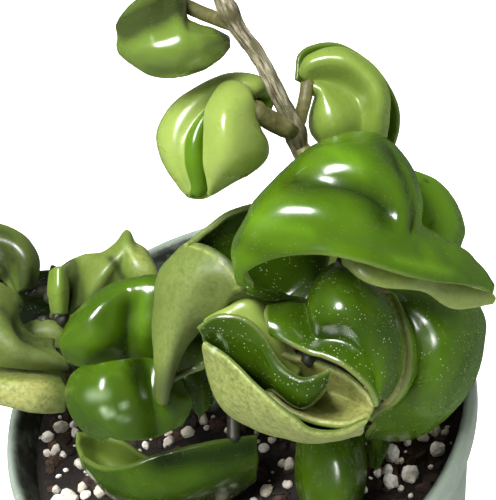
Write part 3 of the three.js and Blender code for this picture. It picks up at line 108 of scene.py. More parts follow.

# ---------------------------------------------------------------- leaves drawn as nets of points
# "net": rows of points from the back edge to the front margin. "glossy": the sign of the shiny face's side.
# "root": where on the net the stalk joins, else the margin nearest to the stem. "at": where it leaves the
# stem, from 0 to 1. "cells": the CAD's rows and columns. "tone": -1 dark to 1 pale; the low tones of
# leaf_edge_hollow and leaf_mid_dark, which sit in shade, are painted shade, and the high tone of
# leaf_front_lip is painted light in its shaded bowl. "gloss_tone" and the stalk's tone are for the glossy
# face and the stalk alone; a stalk tone of -1, on stalks down in hollows, is painted shade. "wax": 0 felted
# to 1 smooth. "rolled": how far down the net the blade turns its other face out. "stalk": its radius.
# "square": how squarely it leaves. Strokes are (strength, width, path on the page): "grooves" are pressed
# in, and painted darker as shade; "shades" are painted shade in hollows, creases and interiors and painted
# light where negative, besides a few real dark specks on leaf_right_back and the margin's own lines on
# leaf_left_cup; the fleck strokes leave pale flecks, which on leaf_left_lower are partly painted sheen.
LEAVES = [
    {"name": "leaf_cap", "stem": "stem_main", "glossy": 1, "tone": 0.2, "wax": 0.85,
     "grooves": [
         (4, 2.2, [(9, 13.6), (14, 13), (20, 12.2), (24.6, 10), (27.6, 6.8)]),
         (2.2, 0.8, [(26.4, 20.6), (29.4, 15.6), (31.3, 11.6), (32.4, 7.6), (32.1, 4)]),
     ],
     # Painted shade darkens the creases and the valley between the ridges; painted light brightens the ridges
     # and bands.
     "shades": [
         (0.9, 0.4, [(27.4, 19.8), (29.6, 15.3), (31.3, 11.6)]),
         (0.8, 0.4, [(32.3, 8.6), (32.2, 5), (32, 3.8)]),
         (-0.3, 1.1, [(33.5, 11.5), (34, 8.5), (33.6, 5.5)]),
         (0.45, 1.6, [(9, 12.6), (14, 12), (20, 11.2), (25, 9), (27.4, 6.4)]),
         (-0.5, 1.1, [(16, 19.5), (20, 18), (23.5, 15)]),
         (-0.4, 1.3, [(2, 6), (6, 5.2), (12, 4)]),
         (0.45, 1.6, [(-0.6, 1.5), (2.5, 0), (8, -0.6), (14, -0.2)]),
         (-0.4, 0.9, [(29, -1.5), (34, -3), (40, -4.4)]),
     ],
     "net": [
         [(-1.5, 2, 27), (0.8, 6, 26.5), (4.5, 9.9, 25.5), (14, 17, 25.4), (24, 17.5, 21), (30, 12.5, 19.5),
          (33, 7, 20.5), (33.2, 3, 21), (39, -1.2, 23), (44, -3.6, 21.5), (48.6, -8.1, 18.8)],
         [(-2.4, 1.8, 31), (0.2, 6.2, 31), (3.1, 10.9, 30.5), (13, 19.9, 28.8), (23.5, 23.2, 25),
          (31, 18.3, 25), (34.1, 10.5, 27.5), (34.2, 5, 28.5), (38.4, 1.9, 28), (44, -1.3, 25.7),
          (49, -7.6, 20.2)],
         [(-2.9, -1, 33.3), (-0.6, 3.6, 36), (3.6, 10.3, 36.8), (13.4, 17.2, 37.2), (22.6, 18.8, 38),
          (29.4, 13.4, 37.6), (32.6, 8, 36.6), (33.4, 3.4, 35.2), (37.5, 0, 32.6), (42.6, -2.6, 29.6),
          (48.9, -8, 21)],
         [(-2.2, -4.4, 33.6), (-1, 1, 38.2), (4.6, 8, 41.2), (13.8, 8.4, 43.6), (21, 6.6, 43.2),
          (27, 3.8, 41.2), (31.4, 1.6, 38.4), (34, -0.6, 36.4), (38.4, -2.4, 34), (43, -4.6, 29.6),
          (48.8, -8.2, 21.2)],
         [(-1.6, -6.9, 32.6), (-0.7, -2.5, 38), (5, 1.2, 40.8), (14, 2.4, 42.6), (22, 0.8, 41.8),
          (28.6, -1.6, 39.4), (33, -3, 37.4), (36, -4, 35.8), (40, -4.9, 33.3), (44, -6.1, 28.8),
          (48.7, -8.4, 21.2)],
         [(1.3, -6.9, 33.2), (0.1, -4.1, 36.9), (5.9, -1.6, 39.6), (14.5, -1, 42.6), (22, -2.4, 42),
          (29, -4.6, 39.3), (33.6, -5.8, 37), (37.5, -6.4, 34.6), (42, -6.9, 31.2), (45.5, -7.5, 27),
          (48.6, -8.6, 20.8)],
     ]},
    {"name": "leaf_flap", "stem": "stem_main", "root": (0, 0.2), "glossy": -1, "tone": 0.3, "wax": 0.7,
     "net": [
         [(19, 6, 27), (23, 6.5, 27.5), (28, 4.5, 27), (33, 1, 26), (36, -1, 24.5), (41, -4, 21),
          (45, -5.5, 18.8)],
         [(18.6, 1.5, 29), (23, 1, 30.3), (28, -0.8, 30.5), (33, -3.3, 29.5), (36.5, -4.8, 27.5),
          (41.5, -6, 23.6), (47, -7.4, 18.6)],
         [(18.8, -1.4, 29.3), (22.8, -4, 31.5), (27.3, -5.6, 31.8), (32, -6.2, 30.6), (36, -6.9, 28),
          (41.5, -9, 24.4), (49.3, -9.4, 17.8)],
         [(19.4, -2.6, 29), (23, -6.2, 31.5), (27.5, -7.6, 31.5), (32, -7.9, 30), (35.6, -8.6, 27.4),
          (41, -11.8, 24), (48.8, -10.9, 18)],
     ]},
    {"name": "leaf_right_back", "stem": "stem_main", "glossy": 1, "tone": 0.65, "wax": 0.8,
     "shades": [
         (1, 0.28, [(35.5, 13.2), (35.3, 13.4)]),
         (1, 0.22, [(34.9, 12.4), (34.8, 12.3)]),
         (1, 0.3, [(36.8, 5.4), (36.6, 5.2)]),
         (1, 0.25, [(36.4, 4.2), (36.4, 4.1)]),
         (0.35, 1.2, [(41, 12), (42.6, 6), (41.4, 1)]),
     ],
     "net": [
         [(26, 14, 4), (31, 15.8, 6), (36.9, 14.1, 8.5), (41.1, 9.6, 9), (42.9, 4, 9), (41.3, -1.3, 8)],
         [(26, 11, 7), (30.5, 12.6, 10), (35.8, 11.6, 13.2), (39.6, 7.8, 14.2), (41, 3.4, 14),
          (39.6, -1.2, 12)],
         [(27, 7, 9), (29.5, 8.2, 11.5), (33.2, 7.6, 14.5), (36.2, 5.4, 15.6), (37.2, 2.2, 15.2),
          (36.2, -1, 13)],
         [(27, 3.5, 8.5), (29, 3.5, 10.5), (31.5, 3.2, 12), (33.4, 2, 13), (34, 0, 12.8), (33.6, -1.8, 11.5)],
     ]},
    {"name": "leaf_left_cup", "stem": "stem_left", "root": (0.2, 0.3), "at": 0.98, "glossy": -1,
     "cells": (7, 11), "tone": -0.3,
     "shades": [
         # Painted shade darkens the foot and the shaded side above it; the thin pale and dark lines along the
         # rim are the margin's own colour.
         (0.5, 2.5, [(-16, -26), (-16.5, -30)]),
         (0.3, 1.2, [(-11.5, -19), (-14.5, -24)]),
         (-0.8, 0.35, [(-2.5, -7.3), (1, -7.6), (5, -8.9), (9, -9.8), (12, -10.2)]),
         (-0.9, 0.3, [(-12, 0.6), (-9.5, 0), (-6.5, -1.5), (-4, -4), (-2.6, -6.2)]),
         (0.8, 0.4, [(-9, 0.8), (-6.5, -0.3), (-4.2, -2.2), (-3, -3.3)]),
     ],
     "net": [
         [(-14.5, -25, 8), (2, -19, 9), (14, -8, 8), (16, 2.5, 11), (8, 9.3, 15), (-2, 8.3, 16.5),
          (-8, 4.2, 17.5), (-11.2, 1.5, 18.5)],
         [(-16.5, -27, 6), (-9, -20, 8), (3, -11, 5), (6, -4, 7), (2, 1.5, 10), (-5, 3.5, 13),
          (-9.5, 2.2, 15.5), (-11.8, 1.1, 17.7)],
         [(-17.8, -30, 8), (-17.9, -23, 11), (-17.8, -16, 10.4), (-17.5, -9.6, 12), (-16.8, -4.2, 14),
          (-14.2, -0.9, 15.5), (-12.6, 0.3, 16.5), (-12, 0.8, 17.3)],
         [(-16.9, -31, 9.6), (-16, -22.5, 16.4), (-14.5, -15, 19), (-12.5, -9.5, 21.5), (-11.5, -5, 22.5),
          (-11.5, -2.3, 21.5), (-11.7, -0.6, 19.6), (-11.7, 0.6, 18.4)],
         [(-16.6, -29.2, 8), (-14.2, -21.4, 12.5), (-10.4, -15.6, 15.5), (-6.4, -11.8, 19.8),
          (-6, -5.5, 24.5), (-8.5, -2.5, 23.5), (-10.2, -0.4, 21), (-11.2, 0.8, 19)],
         [(-16.6, -28.6, 7.6), (-14, -21, 9.6), (-9.2, -14.6, 13), (-1.4, -8.4, 23), (-1.6, -7.2, 25.2),
          (-5.2, -2.4, 24.8), (-8.8, 0.2, 22), (-10.9, 1.1, 19.2)],
         [(-15.8, -27.6, 7), (-13.8, -20.6, 7), (-8, -13, 10), (12.3, -11, 15.1), (3.5, -9.3, 22.6),
          (-3.2, -2.3, 25), (-7.4, 0.6, 22.5), (-10.6, 1.1, 19.4)],
     ]},
    {"name": "leaf_small_mid", "stem": "stem_main", "root": (0, 0.8), "at": 0.2, "glossy": -1,
     "cells": (5, 9), "tone": 0.35, "wax": 1, "shaded_stalk_tone": -1,
     "net": [
         [(-9, -14, 17), (-6.3, -12.1, 17.6), (-3.6, -10, 18), (-1, -8.6, 18.4), (1.8, -9.4, 18.4),
          (3.6, -12.5, 17.6), (6.5, -17.5, 16.5), (11, -23, 15.5)],
         [(-8.6, -15.2, 19.4), (-6, -13.6, 20.6), (-3.4, -12, 21.2), (-0.9, -10.8, 21.6), (1.2, -11.8, 21.4),
          (3.2, -15, 20.8), (6.2, -19.6, 19.8), (10, -25, 18)],
         [(-8, -16.4, 19.4), (-5.6, -15.6, 20.6), (-3, -14.6, 21.2), (-1, -14.2, 21.4), (0.6, -15.4, 21.2),
          (2.6, -18.8, 20), (5.4, -23.5, 18), (8.5, -28, 16.5)],
     ]},
    {"name": "leaf_front_left", "stem": "stem_front", "root": (0.5, 0.2), "glossy": 1, "thickness": 1.4,
     "tone": 0.3, "gloss_tone": -0.45, "shaded_stalk_tone": -1,
     "flecks_and_sheen": [
         (0.7, 0.35, [(-5.7, -16.6), (-5.3, -17)]),
         (0.7, 0.35, [(-4.3, -18.4), (-4.1, -18.7)]),
         (0.6, 0.35, [(-6.8, -19.7), (-6.6, -19.9)]),
     ],
     "net": [
         [(-10.2, -15.4, 27), (-6.5, -12.9, 29), (-1, -13.3, 30), (3.2, -16.8, 30), (6.3, -22, 30),
          (10.3, -25.2, 30.5), (13.6, -24.9, 31), (16.6, -23.6, 30.5)],
         [(-9.6, -16.4, 26.5), (-6, -15.2, 28), (-1.4, -16, 28.5), (2.6, -19.6, 29), (5.8, -24.4, 29.8),
          (10.2, -27, 31), (13.6, -26.6, 31), (16, -25.2, 30)],
         [(-9.2, -17.4, 25.5), (-5.4, -19, 24), (-1.6, -22.4, 23.5), (2.6, -24.4, 25), (6.4, -28, 27),
          (10.4, -30.8, 28), (13.2, -29.8, 28), (15.4, -27, 27.5)],
         [(-8.6, -19.6, 21), (-5, -24.5, 14.5), (-1.6, -27.5, 11), (2, -29.5, 9), (6.5, -31, 9),
          (10.5, -31.5, 10), (13.5, -30.5, 11), (16, -28.5, 12)],
         [(-8.4, -19.4, 24.5), (-7.3, -26, 19.5), (-4.2, -32, 17), (2, -35.4, 17.6), (7.5, -37, 19.6),
          (12.2, -37.7, 21.6), (17, -37.1, 22.5), (22.4, -35.9, 22)],
         [(-9, -18.9, 26), (-5, -22.6, 27.5), (-0.5, -28, 28.5), (4.6, -32.6, 29.6), (9.4, -35.7, 30.6),
          (13, -36.9, 31), (17.8, -36.9, 30.5), (23.2, -34.9, 28)],
         [(-8.9, -18.4, 27.5), (-4, -21.4, 30), (0, -25.4, 32), (4.6, -29.8, 33.4), (8.8, -33.3, 34),
          (12.2, -35.8, 33.8), (17.6, -36.3, 32.4), (23.9, -33.7, 29.5)],
     ]},
    {"name": "leaf_front_right", "stem": "stem_main", "root": (0, 0.45), "glossy": 1, "tone": -0.15,
     "shaded_stalk_tone": -1,
     "net": [
         [(5, -12, 19), (8.5, -12, 18), (12, -11.5, 18), (13.2, -8, 20.5), (15.5, -4.5, 22.5),
          (19, -2.8, 22.5), (24, -6.5, 22), (28.5, -12, 21), (30.4, -19, 20), (29.9, -25, 19), (27, -30, 19)],
         [(3.6, -11.6, 22.5), (8, -11.2, 22), (12, -11, 21.5), (12.8, -8.8, 25.5), (15.6, -5.8, 28),
          (19.5, -4.6, 27.5), (23.6, -8.2, 27), (27.4, -12.9, 26), (29.6, -19.4, 24.5), (29.1, -25.2, 23),
          (26.8, -29.8, 22)],
         [(3.2, -12.6, 24.8), (7.6, -12.9, 24.3), (12.4, -13.2, 22.8), (12.7, -11.6, 27.8), (15.8, -9.6, 31),
          (19.5, -9, 31.7), (22.6, -12, 31.3), (25.6, -16, 30), (27.3, -21, 28.5), (27.3, -26, 27),
          (26, -29.8, 24.5)],
         [(3.4, -14.2, 26), (7.3, -15.4, 26.5), (13, -16.6, 24.8), (14, -14.9, 28.6), (16.8, -13.8, 31.8),
          (19.6, -13.4, 32.8), (22, -15.4, 32.5), (24.2, -18.6, 31), (26, -22.4, 29), (26.4, -26.8, 27.8),
          (25.9, -30.2, 25.5)],
         [(3.9, -15.7, 26.2), (7.5, -17.4, 27), (12.4, -18.8, 26.8), (15.4, -17.8, 26.4), (17.8, -17.6, 27),
          (20, -18.1, 27.6), (22, -19.5, 28), (23.8, -21.8, 28), (25, -24.8, 27.6), (25.8, -28, 26.8),
          (25.8, -30.8, 25.4)],
         [(4.8, -16.7, 25.5), (8, -18.9, 27.5), (12.2, -20.8, 28.4), (14.6, -21.4, 29.2), (16.8, -22.3, 30),
          (18.8, -23.3, 30.4), (20.8, -24.8, 30.3), (22.4, -26.2, 29.8), (24.2, -28.2, 28.5),
          (25.2, -30.2, 26.8), (25.4, -31.4, 25.6)],
     ]},
    # Painted light: the high tone lightens the bowl's inside, which lies in shade.
    {"name": "leaf_front_lip", "stem": "stem_main", "root": (0, 0.4), "glossy": -1, "tone": 0.55,
     "shaded_stalk_tone": -1,
     "net": [
         [(2, -22, 18), (6, -20.5, 20), (10, -21.3, 21), (15, -22.8, 21), (20, -25.2, 21.8),
          (23.8, -28.6, 22.5), (25.2, -31, 23.5)],
         [(2, -25, 15), (6, -25, 14), (10.5, -26, 13.5), (15, -27.5, 14), (19.5, -29, 16), (22.8, -30.6, 19),
          (24.8, -31.9, 22.8)],
         [(2.6, -27, 15.5), (6.5, -29.5, 15), (11, -30.4, 16), (15.5, -31.3, 17.4), (19.5, -32, 19.1),
          (22.6, -32.3, 20.8), (24.6, -32.5, 23)],
         [(3.4, -28.2, 19), (7.4, -31.4, 19.5), (11.6, -32.8, 21.1), (15.8, -34, 22.5), (19.6, -34.6, 23),
          (22.4, -33.8, 23.8), (24.4, -32.9, 24)],
         [(4, -28.8, 22), (8, -32, 23.5), (12, -33.9, 25), (16, -34.9, 26), (19.8, -34.9, 26.4),
          (22.4, -34, 26), (24.3, -32.9, 25)],
     ]},
    {"name": "leaf_right_big", "stem": "stem_main", "root": (0.45, 0), "glossy": 1, "thickness": 1.4,
     "tone": 0.12, "rolled": 0.86,
     "shades": [
         # Painted light: lightens the rolled strip along the left margin, which lies in shade.
         (-0.8, 0.6, [(28, -8.4), (29.8, -12), (31, -15.5), (31.7, -19), (31.8, -22), (31.4, -25),
             (30.5, -27.8), (29, -29.7), (27.5, -31)]),
     ],
     "flecks_and_sheen": [
         (0.8, 0.3, [(34.7, -14.3), (34.9, -14.5)]),
     ],
     "net": [
         [(26, -5, 3.4), (31, -4, 2.4), (37, -5, 1), (43, -8, -1), (46.8, -13, -3), (46.9, -18.5, -4),
          (45, -26, -5), (40, -32.8, -6), (33, -37.4, -7), (23.4, -37.6, -8)],
         [(27, -7.5, 7.4), (31.5, -7.5, 8.6), (37, -9, 8.5), (41.8, -11.5, 7.8), (44.3, -15.5, 7.3),
          (44.2, -20.4, 7.1), (42, -26.6, 6.1), (37.6, -32, 3.5), (32, -35.4, 0), (23.6, -36.6, -3)],
         [(27.6, -9.5, 9.4), (31.8, -10.5, 11.6), (36, -12.5, 13.3), (38.6, -15.5, 14), (39.6, -19, 14.6),
          (39, -23, 14.1), (37, -27.4, 12.8), (34, -31, 9.2), (30.6, -33.2, 4.6), (24.4, -35.6, 1)],
         [(28.6, -11, 10.9), (31.4, -13, 12.3), (34, -15.5, 13.4), (35.2, -18.2, 13.8), (35.5, -21, 14.1),
          (35, -24, 13.4), (33.8, -27.2, 12.5), (31.8, -30, 9.9), (29.4, -31.8, 6.4), (25, -34.8, 3)],
         [(29.4, -10.6, 12), (31.3, -14, 13.4), (32.9, -17, 13.8), (33.7, -19.6, 13.7), (33.8, -22.2, 13.4),
          (33.3, -25, 12.4), (32.2, -27.6, 11), (30.6, -29.6, 9.3), (28.8, -31, 7), (25, -34.2, 3.6)],
         [(28.6, -8.6, 12.5), (30.4, -12, 14.5), (31.6, -15.5, 15.6), (32.3, -19, 16), (32.4, -22, 15.7),
          (32, -25, 14.5), (31, -27.8, 12.6), (29.6, -29.8, 10.2), (28, -31, 7.5), (24.2, -34, 4)],
         [(26, -8, 11), (28, -12, 12), (29.2, -15.5, 12.8), (29.9, -19, 13), (30, -22, 12.6),
          (29.6, -25, 11.6), (28.8, -27.6, 10), (27.6, -29.4, 8), (26.6, -30.6, 6), (23.5, -33.5, 3)],
     ]},
    {"name": "leaf_left_upper", "stem": "stem_left", "root": (0.75, 0), "at": 0.7, "glossy": -1, "wax": 1,
     "shades": [
         # Painted shade darkens the hollow of the crease, and painted light brightens the strip that rises
         # beside it.
         (0.75, 1.5, [(-24, -11), (-24.6, -16), (-24.6, -21)]),
         (-0.35, 1.1, [(-20.6, -8), (-20.8, -14), (-21, -19)]),
     ],
     "net": [
         [(-16.6, -5.2, 3), (-19.8, -5.4, 3), (-22, -5.7, 2.6), (-24.2, -6.1, 2.2), (-27, -7.1, 2),
          (-30, -8.8, 1.8), (-33, -11.4, 1.2), (-35.4, -14.2, 0.6), (-36.6, -16.8, 0)],
         [(-16.6, -7, 6.8), (-19.8, -7, 6.8), (-22, -7.3, 6.4), (-24.2, -8, 6.2), (-27, -9.4, 7),
          (-29.8, -11, 7.4), (-32.4, -13.1, 7), (-34.6, -15.4, 6), (-37.2, -17.8, 2)],
         [(-16.4, -11, 7), (-19.7, -11, 7.2), (-22, -12, 6), (-24.2, -13, 5), (-27, -14, 6.8),
          (-29.8, -15, 8), (-32, -16.2, 7.8), (-34, -17.4, 6.4), (-37.4, -19, 2.4)],
         [(-16.4, -16, 6), (-19.7, -16.4, 6.2), (-22, -17.2, 5.2), (-24.2, -17.8, 4), (-27, -18.4, 5.8),
          (-29.6, -18.9, 7), (-31.9, -19.3, 6.8), (-33.8, -19.6, 5.4), (-37.2, -20.2, 1.8)],
         [(-16.6, -20.6, 1), (-19.7, -21.6, 0.2), (-22, -22.4, -0.8), (-24.2, -23, -0.8), (-27, -23.6, -0.4),
          (-29.8, -23.9, -0.2), (-32.4, -23.5, 0.8), (-34.8, -22.7, 0.2), (-36.6, -21.4, -0.6)],
     ]},
    {"name": "leaf_left_lower", "stem": "stem_left", "root": (0.9, 0), "at": 0.55, "glossy": -1,
     "tone": -0.15, "wax": 1,
     "flecks_and_sheen": [
         # Painted sheen: the broad pale mark stands for a soft highlight, and the small spots for hazy
         # reflections mixed with real residue.
         (0.8, 0.65, [(-28.6, -31.6), (-27.7, -32.6)]),
         (0.6, 0.5, [(-25.4, -33), (-24.8, -33.8)]),
         (0.5, 0.45, [(-25.2, -30.6), (-25, -31.2)]),
         (0.35, 1.1, [(-30.8, -29), (-29, -29)]),
     ],
     "net": [
         [(-32.5, -23.4, 5), (-35.2, -25.5, 4.5), (-36.2, -29, 4), (-35, -33, 3.5), (-32.5, -36.2, 3),
          (-28.5, -38.3, 2.5)],
         [(-30.5, -23.1, 9), (-32.7, -25.5, 10), (-33.2, -28.7, 10.3), (-32.3, -31.8, 10),
          (-30.3, -34.5, 8.5), (-27.3, -37.3, 6)],
         [(-28, -22.6, 10), (-29, -25.3, 13), (-29, -28.3, 14), (-28.3, -31.3, 13.5), (-27, -34.4, 11.5),
          (-25, -37.8, 8)],
         [(-24.5, -21.9, 8), (-24.3, -24.5, 10.5), (-24, -27.5, 11.3), (-23.3, -30.5, 11), (-22.5, -34, 9.5),
          (-21.5, -38, 6.5)],
         [(-21.5, -21.5, 2.5), (-20.8, -24, 3.5), (-20.3, -27, 4), (-19.5, -30, 4), (-18.8, -33.6, 3.5),
          (-18.3, -37.4, 1.5)],
         [(-18, -22, 1.5), (-17.3, -24.5, 3), (-16.5, -27.3, 4.5), (-15.6, -30, 5.5), (-15.2, -32.8, 4.3),
          (-15.3, -35.8, 1.5)],
         [(-15, -23, -0.5), (-13.8, -25.3, 1), (-12.6, -27.8, 3), (-11.2, -30.3, 3.5), (-11.8, -32.6, 2),
          (-13.4, -34.9, -0.5)],
     ]},
    # Painted shade: its low tone darkens this leaf, which lies behind others in a shaded gap.
    {"name": "leaf_mid_dark", "stem": "stem_front", "root": (0.2, 1), "glossy": 1, "cells": (5, 9),
     "tone": -0.5, "shaded_stalk_tone": -1,
     "net": [
         [(-13.8, -22.3, -5.5), (-12.3, -21.2, -5.5), (-10.3, -21.5, -6), (-8, -23.2, -6.5),
          (-6.5, -26.5, -7.5), (-6.1, -31, -8.5)],
         [(-13.8, -24.5, -1.5), (-12.5, -23.8, -0.9), (-11, -24, -0.9), (-9.3, -25.4, -1.5),
          (-8.3, -28, -2.5), (-7.9, -31.5, -4.5)],
         [(-14.3, -27.5, -1.2), (-13.1, -27.2, -0.3), (-11.7, -27.4, -0.1), (-10.3, -28.4, -0.5),
          (-9.5, -30, -1), (-9.1, -32.6, -3.5)],
         [(-14.7, -31, -3.5), (-13.5, -31, -2.5), (-12.1, -31.2, -2.5), (-10.9, -31.8, -3),
          (-10.1, -32.8, -3.5), (-9.7, -34.2, -5.5)],
     ]},
    {"name": "leaf_low_front", "stem": "stem_front", "glossy": -1, "tone": -0.25, "wax": 0.9,
     "shaded_stalk_tone": -1,
     "shades": [
         # Painted shade darkens the inside of the boat towards the right.
         (0.7, 2.6, [(-17, -42), (-8, -41), (0, -39.5)]),
     ],
     "net": [
         [(-34.2, -36.4, -16), (-30, -36.8, -19), (-24.5, -38.4, -19.5), (-20, -41.4, -19.5),
          (-13.5, -41.8, -19), (-6, -40.4, -18), (1, -39, -15.5)],
         [(-34.4, -39, -18), (-29.8, -41.4, -22.5), (-24, -43.6, -22.5), (-19.5, -44.6, -22.5),
          (-13.5, -44.8, -22), (-6, -43, -20.5), (1.4, -40.6, -16)],
         [(-33, -42.5, -18), (-28, -48, -19), (-23, -51.5, -19.5), (-18.5, -52.5, -20), (-12.5, -52.5, -20),
          (-5, -50, -19.5), (1.5, -45.5, -14.5)],
         [(-32.5, -42.8, -14.5), (-27.5, -47.5, -13), (-22.5, -49.3, -9.6), (-18, -49.3, -8.6),
          (-12, -48, -8.5), (-5, -45.5, -9), (2, -42, -11)],
         [(-33.4, -41.2, -13.5), (-29.4, -43.2, -11), (-24.4, -43, -7.4), (-19, -41, -6), (-13.5, -39.5, -6),
          (-6, -37.9, -7), (1.8, -36.9, -10)],
     ]},
    {"name": "leaf_low_bulb", "stem": "stem_main", "glossy": -1, "tone": -0.1, "wax": 0.5, "shaded_stalk_tone": -1,
     "net": [
         [(12.9, -33, -18), (10.5, -37, -16.5), (9.9, -42, -15), (10.1, -47, -13), (11.4, -52, -13)],
         [(14.2, -33.5, -13), (12.5, -37, -8.6), (12.2, -42, -6.2), (12.5, -47, -5.2), (13.4, -52, -6)],
         [(17.4, -34, -11), (18.4, -37.4, -4.8), (18.8, -42, -1.7), (19, -47, -0.9), (18.4, -52, -2)],
         [(19.7, -34, -13), (21.4, -37, -10.5), (21.8, -42, -8), (21.6, -47, -6), (20.6, -52, -6)],
         [(20.7, -33.5, -18), (22.7, -37, -16.5), (23.2, -42, -15), (23, -47, -13), (21.7, -52, -13)],
     ]},
    {"name": "leaf_low_small", "stem": "stem_main", "glossy": -1, "cells": (5, 7), "shaded_stalk_tone": -1,
     "net": [
         [(23, -35, -21), (24, -38.5, -21), (24.6, -41.5, -20), (25.2, -43.8, -19)],
         [(25.7, -35, -19), (26, -38.5, -17.5), (26, -41.3, -17), (25.4, -43.9, -17)],
         [(28.8, -35, -21), (28.3, -38.3, -20), (27.2, -41, -19), (25.7, -43.8, -18.5)],
     ]},
    {"name": "leaf_top_left", "stem": "stem_main", "root": (0, 0.5), "at": 0.645, "glossy": -1, "tone": -0.2,
     "wax": 1,
     "grooves": [
         (3, 2.4, [(-24.6, 43), (-21.5, 44.6), (-18, 46), (-15.8, 47.8)]),
     ],
     "shades": [
         # Painted shade fills the pocket under the top rim and darkens the band along the bottom and the two
         # ends.
         (0.95, 2.5, [(-23.4, 44.6), (-20.6, 46.2), (-18, 47.2), (-15.8, 48.4)]),
         (0.45, 0.9, [(-19.5, 36.7), (-14, 36.3), (-9, 37.2), (-6, 39)]),
         (0.6, 1.0, [(-10.8, 36), (-8, 36.2)]),
         (0.6, 1.3, [(-6, 42.6), (-4.4, 41.4)]),
     ],
     "flecks_and_sheen": [
         (0.5, 0.25, [(-18.9, 41.9), (-18.8, 41.9)]),
     ],
     "net": [
         [(-25, 44, 30), (-24, 46, 29.5), (-20.5, 49, 29), (-17, 50.4, 29), (-14, 49.5, 30),
          (-12.6, 45.6, 31), (-10, 44, 32), (-7, 42.9, 31.6), (-4.2, 41.5, 31)],
         [(-26, 44, 33), (-24.6, 46.6, 32), (-21.5, 49.8, 30.5), (-17, 51.8, 30.5), (-13.6, 50.6, 33),
          (-12.8, 46, 34), (-10.5, 44.6, 35), (-7, 43.5, 34.5), (-3.7, 41.9, 33)],
         [(-26.2, 43, 35.5), (-23.8, 45.4, 36), (-20.5, 48, 35.5), (-17, 49.4, 35.5), (-14.6, 48.2, 38.5),
          (-12.9, 44, 40), (-10, 42.9, 40), (-6.5, 42.2, 38), (-3.8, 41.5, 34.5)],
         [(-26.2, 42, 36.5), (-23, 42.2, 40.5), (-19.4, 43.3, 42), (-16.2, 43.9, 42.3), (-13.8, 43.2, 43),
          (-11.8, 42.2, 43), (-9.5, 42, 42), (-6.3, 42.2, 38.8), (-3.9, 41.9, 35)],
         [(-26.1, 41, 36.5), (-22.8, 40, 40.8), (-19, 39.3, 42.4), (-16, 39.2, 43), (-13.4, 39.2, 42.8),
          (-11, 39.5, 42), (-9, 39.9, 41), (-6.2, 40.9, 38), (-3.9, 41.6, 34.8)],
         [(-25.6, 40, 35), (-23.4, 38, 37), (-19.5, 35.8, 37.6), (-16, 35.2, 38), (-13, 35.5, 37.8),
          (-10.4, 36.4, 37), (-8.2, 37.5, 36.4), (-5.6, 39.4, 35), (-3.7, 41.4, 33.4)],
         [(-24.8, 40.3, 31), (-22.5, 38.6, 31), (-19, 36.9, 31), (-16, 36.4, 31), (-13, 36.6, 31),
          (-10.6, 37.2, 31), (-8.4, 38, 31), (-6, 39.4, 31), (-4.2, 41.4, 31)],
     ]},
    {"name": "leaf_top_pouch", "stem": "stem_main", "root": (0.17, 0), "at": 0.435, "glossy": 1,
     "thickness": 1.3, "cells": (8, 11), "tone": 0.35, "wax": 1, "rolled": 0.78, "stalk": 1.9, "square": 0.3,
     "net": [
         [(0.7, 29.4, 31.5), (-0.9, 33, 31.5), (-5, 33.4, 32), (-8.2, 28.6, 33), (-8.8, 23, 33.5),
          (-8.9, 17.5, 32.5), (-8.1, 12.9, 30), (-8.2, 11.2, 28.8)],
         [(1.4, 28.2, 31.4), (0, 30, 34), (-2.8, 28.6, 36.5), (-4, 25, 38), (-3.8, 20.6, 37.6),
          (-4.6, 16.8, 35), (-6.6, 13.4, 31), (-8, 11, 28.2)],
         [(2.2, 27, 29.5), (1.2, 26.6, 31), (2.3, 23.7, 31), (3.5, 21.2, 30), (3.1, 18.6, 29.5),
          (0.6, 15.9, 29), (-4, 13.4, 28), (-8, 11.2, 26.8)],
         [(3, 26.6, 25.5), (2, 27, 25), (-0.5, 25.5, 22.5), (-1, 23, 21.5), (-1.5, 19.5, 21.5),
          (-3, 17, 22.5), (-6.5, 13.8, 24.5), (-8.8, 10.4, 25.4)],
         [(3.6, 27.2, 21.8), (4.6, 31, 22.5), (-2, 31.5, 20.5), (-9, 27, 19), (-12, 22.5, 19),
          (-11, 17.4, 20.5), (-9.8, 13.4, 23), (-9.8, 10.2, 24.8)],
         [(4, 28.8, 20.4), (3.4, 33.4, 25), (-4, 34.7, 25), (-13, 30.2, 24.5), (-17.4, 24, 23.5),
          (-16.4, 18, 24), (-12.8, 12.4, 25.2), (-10.8, 10.3, 24.8)],
         [(3, 30.4, 22), (2.2, 32.8, 28.5), (-4.2, 33.6, 29), (-11.4, 29.6, 29.5), (-15.4, 23.7, 29.5),
          (-14.8, 17.4, 29), (-12, 12.6, 27.6), (-11.6, 10.7, 26)],
         [(1.4, 31, 24.4), (0.5, 30.6, 28), (-4.2, 30.6, 28.4), (-8.4, 27.8, 29.2), (-12, 23, 30),
          (-12.5, 17.6, 29.6), (-11.2, 12.9, 28), (-11.5, 11.2, 27.4)],
         [(1.4, 30.8, 25.4), (0.2, 30.2, 28.6), (-4.1, 30, 29.2), (-7.8, 27.5, 30.6), (-10.2, 23.1, 31.4),
          (-10.4, 17.8, 31), (-9.7, 13, 29), (-10.4, 10.8, 27.4)],
         [(1.4, 30.4, 26.6), (0.4, 29.8, 28.2), (-4, 29.2, 28.3), (-6.2, 26.8, 28.8), (-7.4, 23, 29.4),
          (-7.4, 18, 29), (-7.6, 13.4, 27.6), (-9.6, 10.4, 26.6)],
     ]},
    {"name": "leaf_top_hook", "stem": "stem_main", "root": (0.5, 0), "at": 0.43, "glossy": 1,
     "thickness": 1.3, "tone": 0.1, "wax": 1,
     "net": [
         [(9.4, 34, 19.5), (10.6, 39.8, 18.5), (17.5, 41.5, 17.5), (25, 37.2, 17), (29.6, 30.4, 17),
          (30.4, 24.6, 16), (28.6, 18.5, 14)],
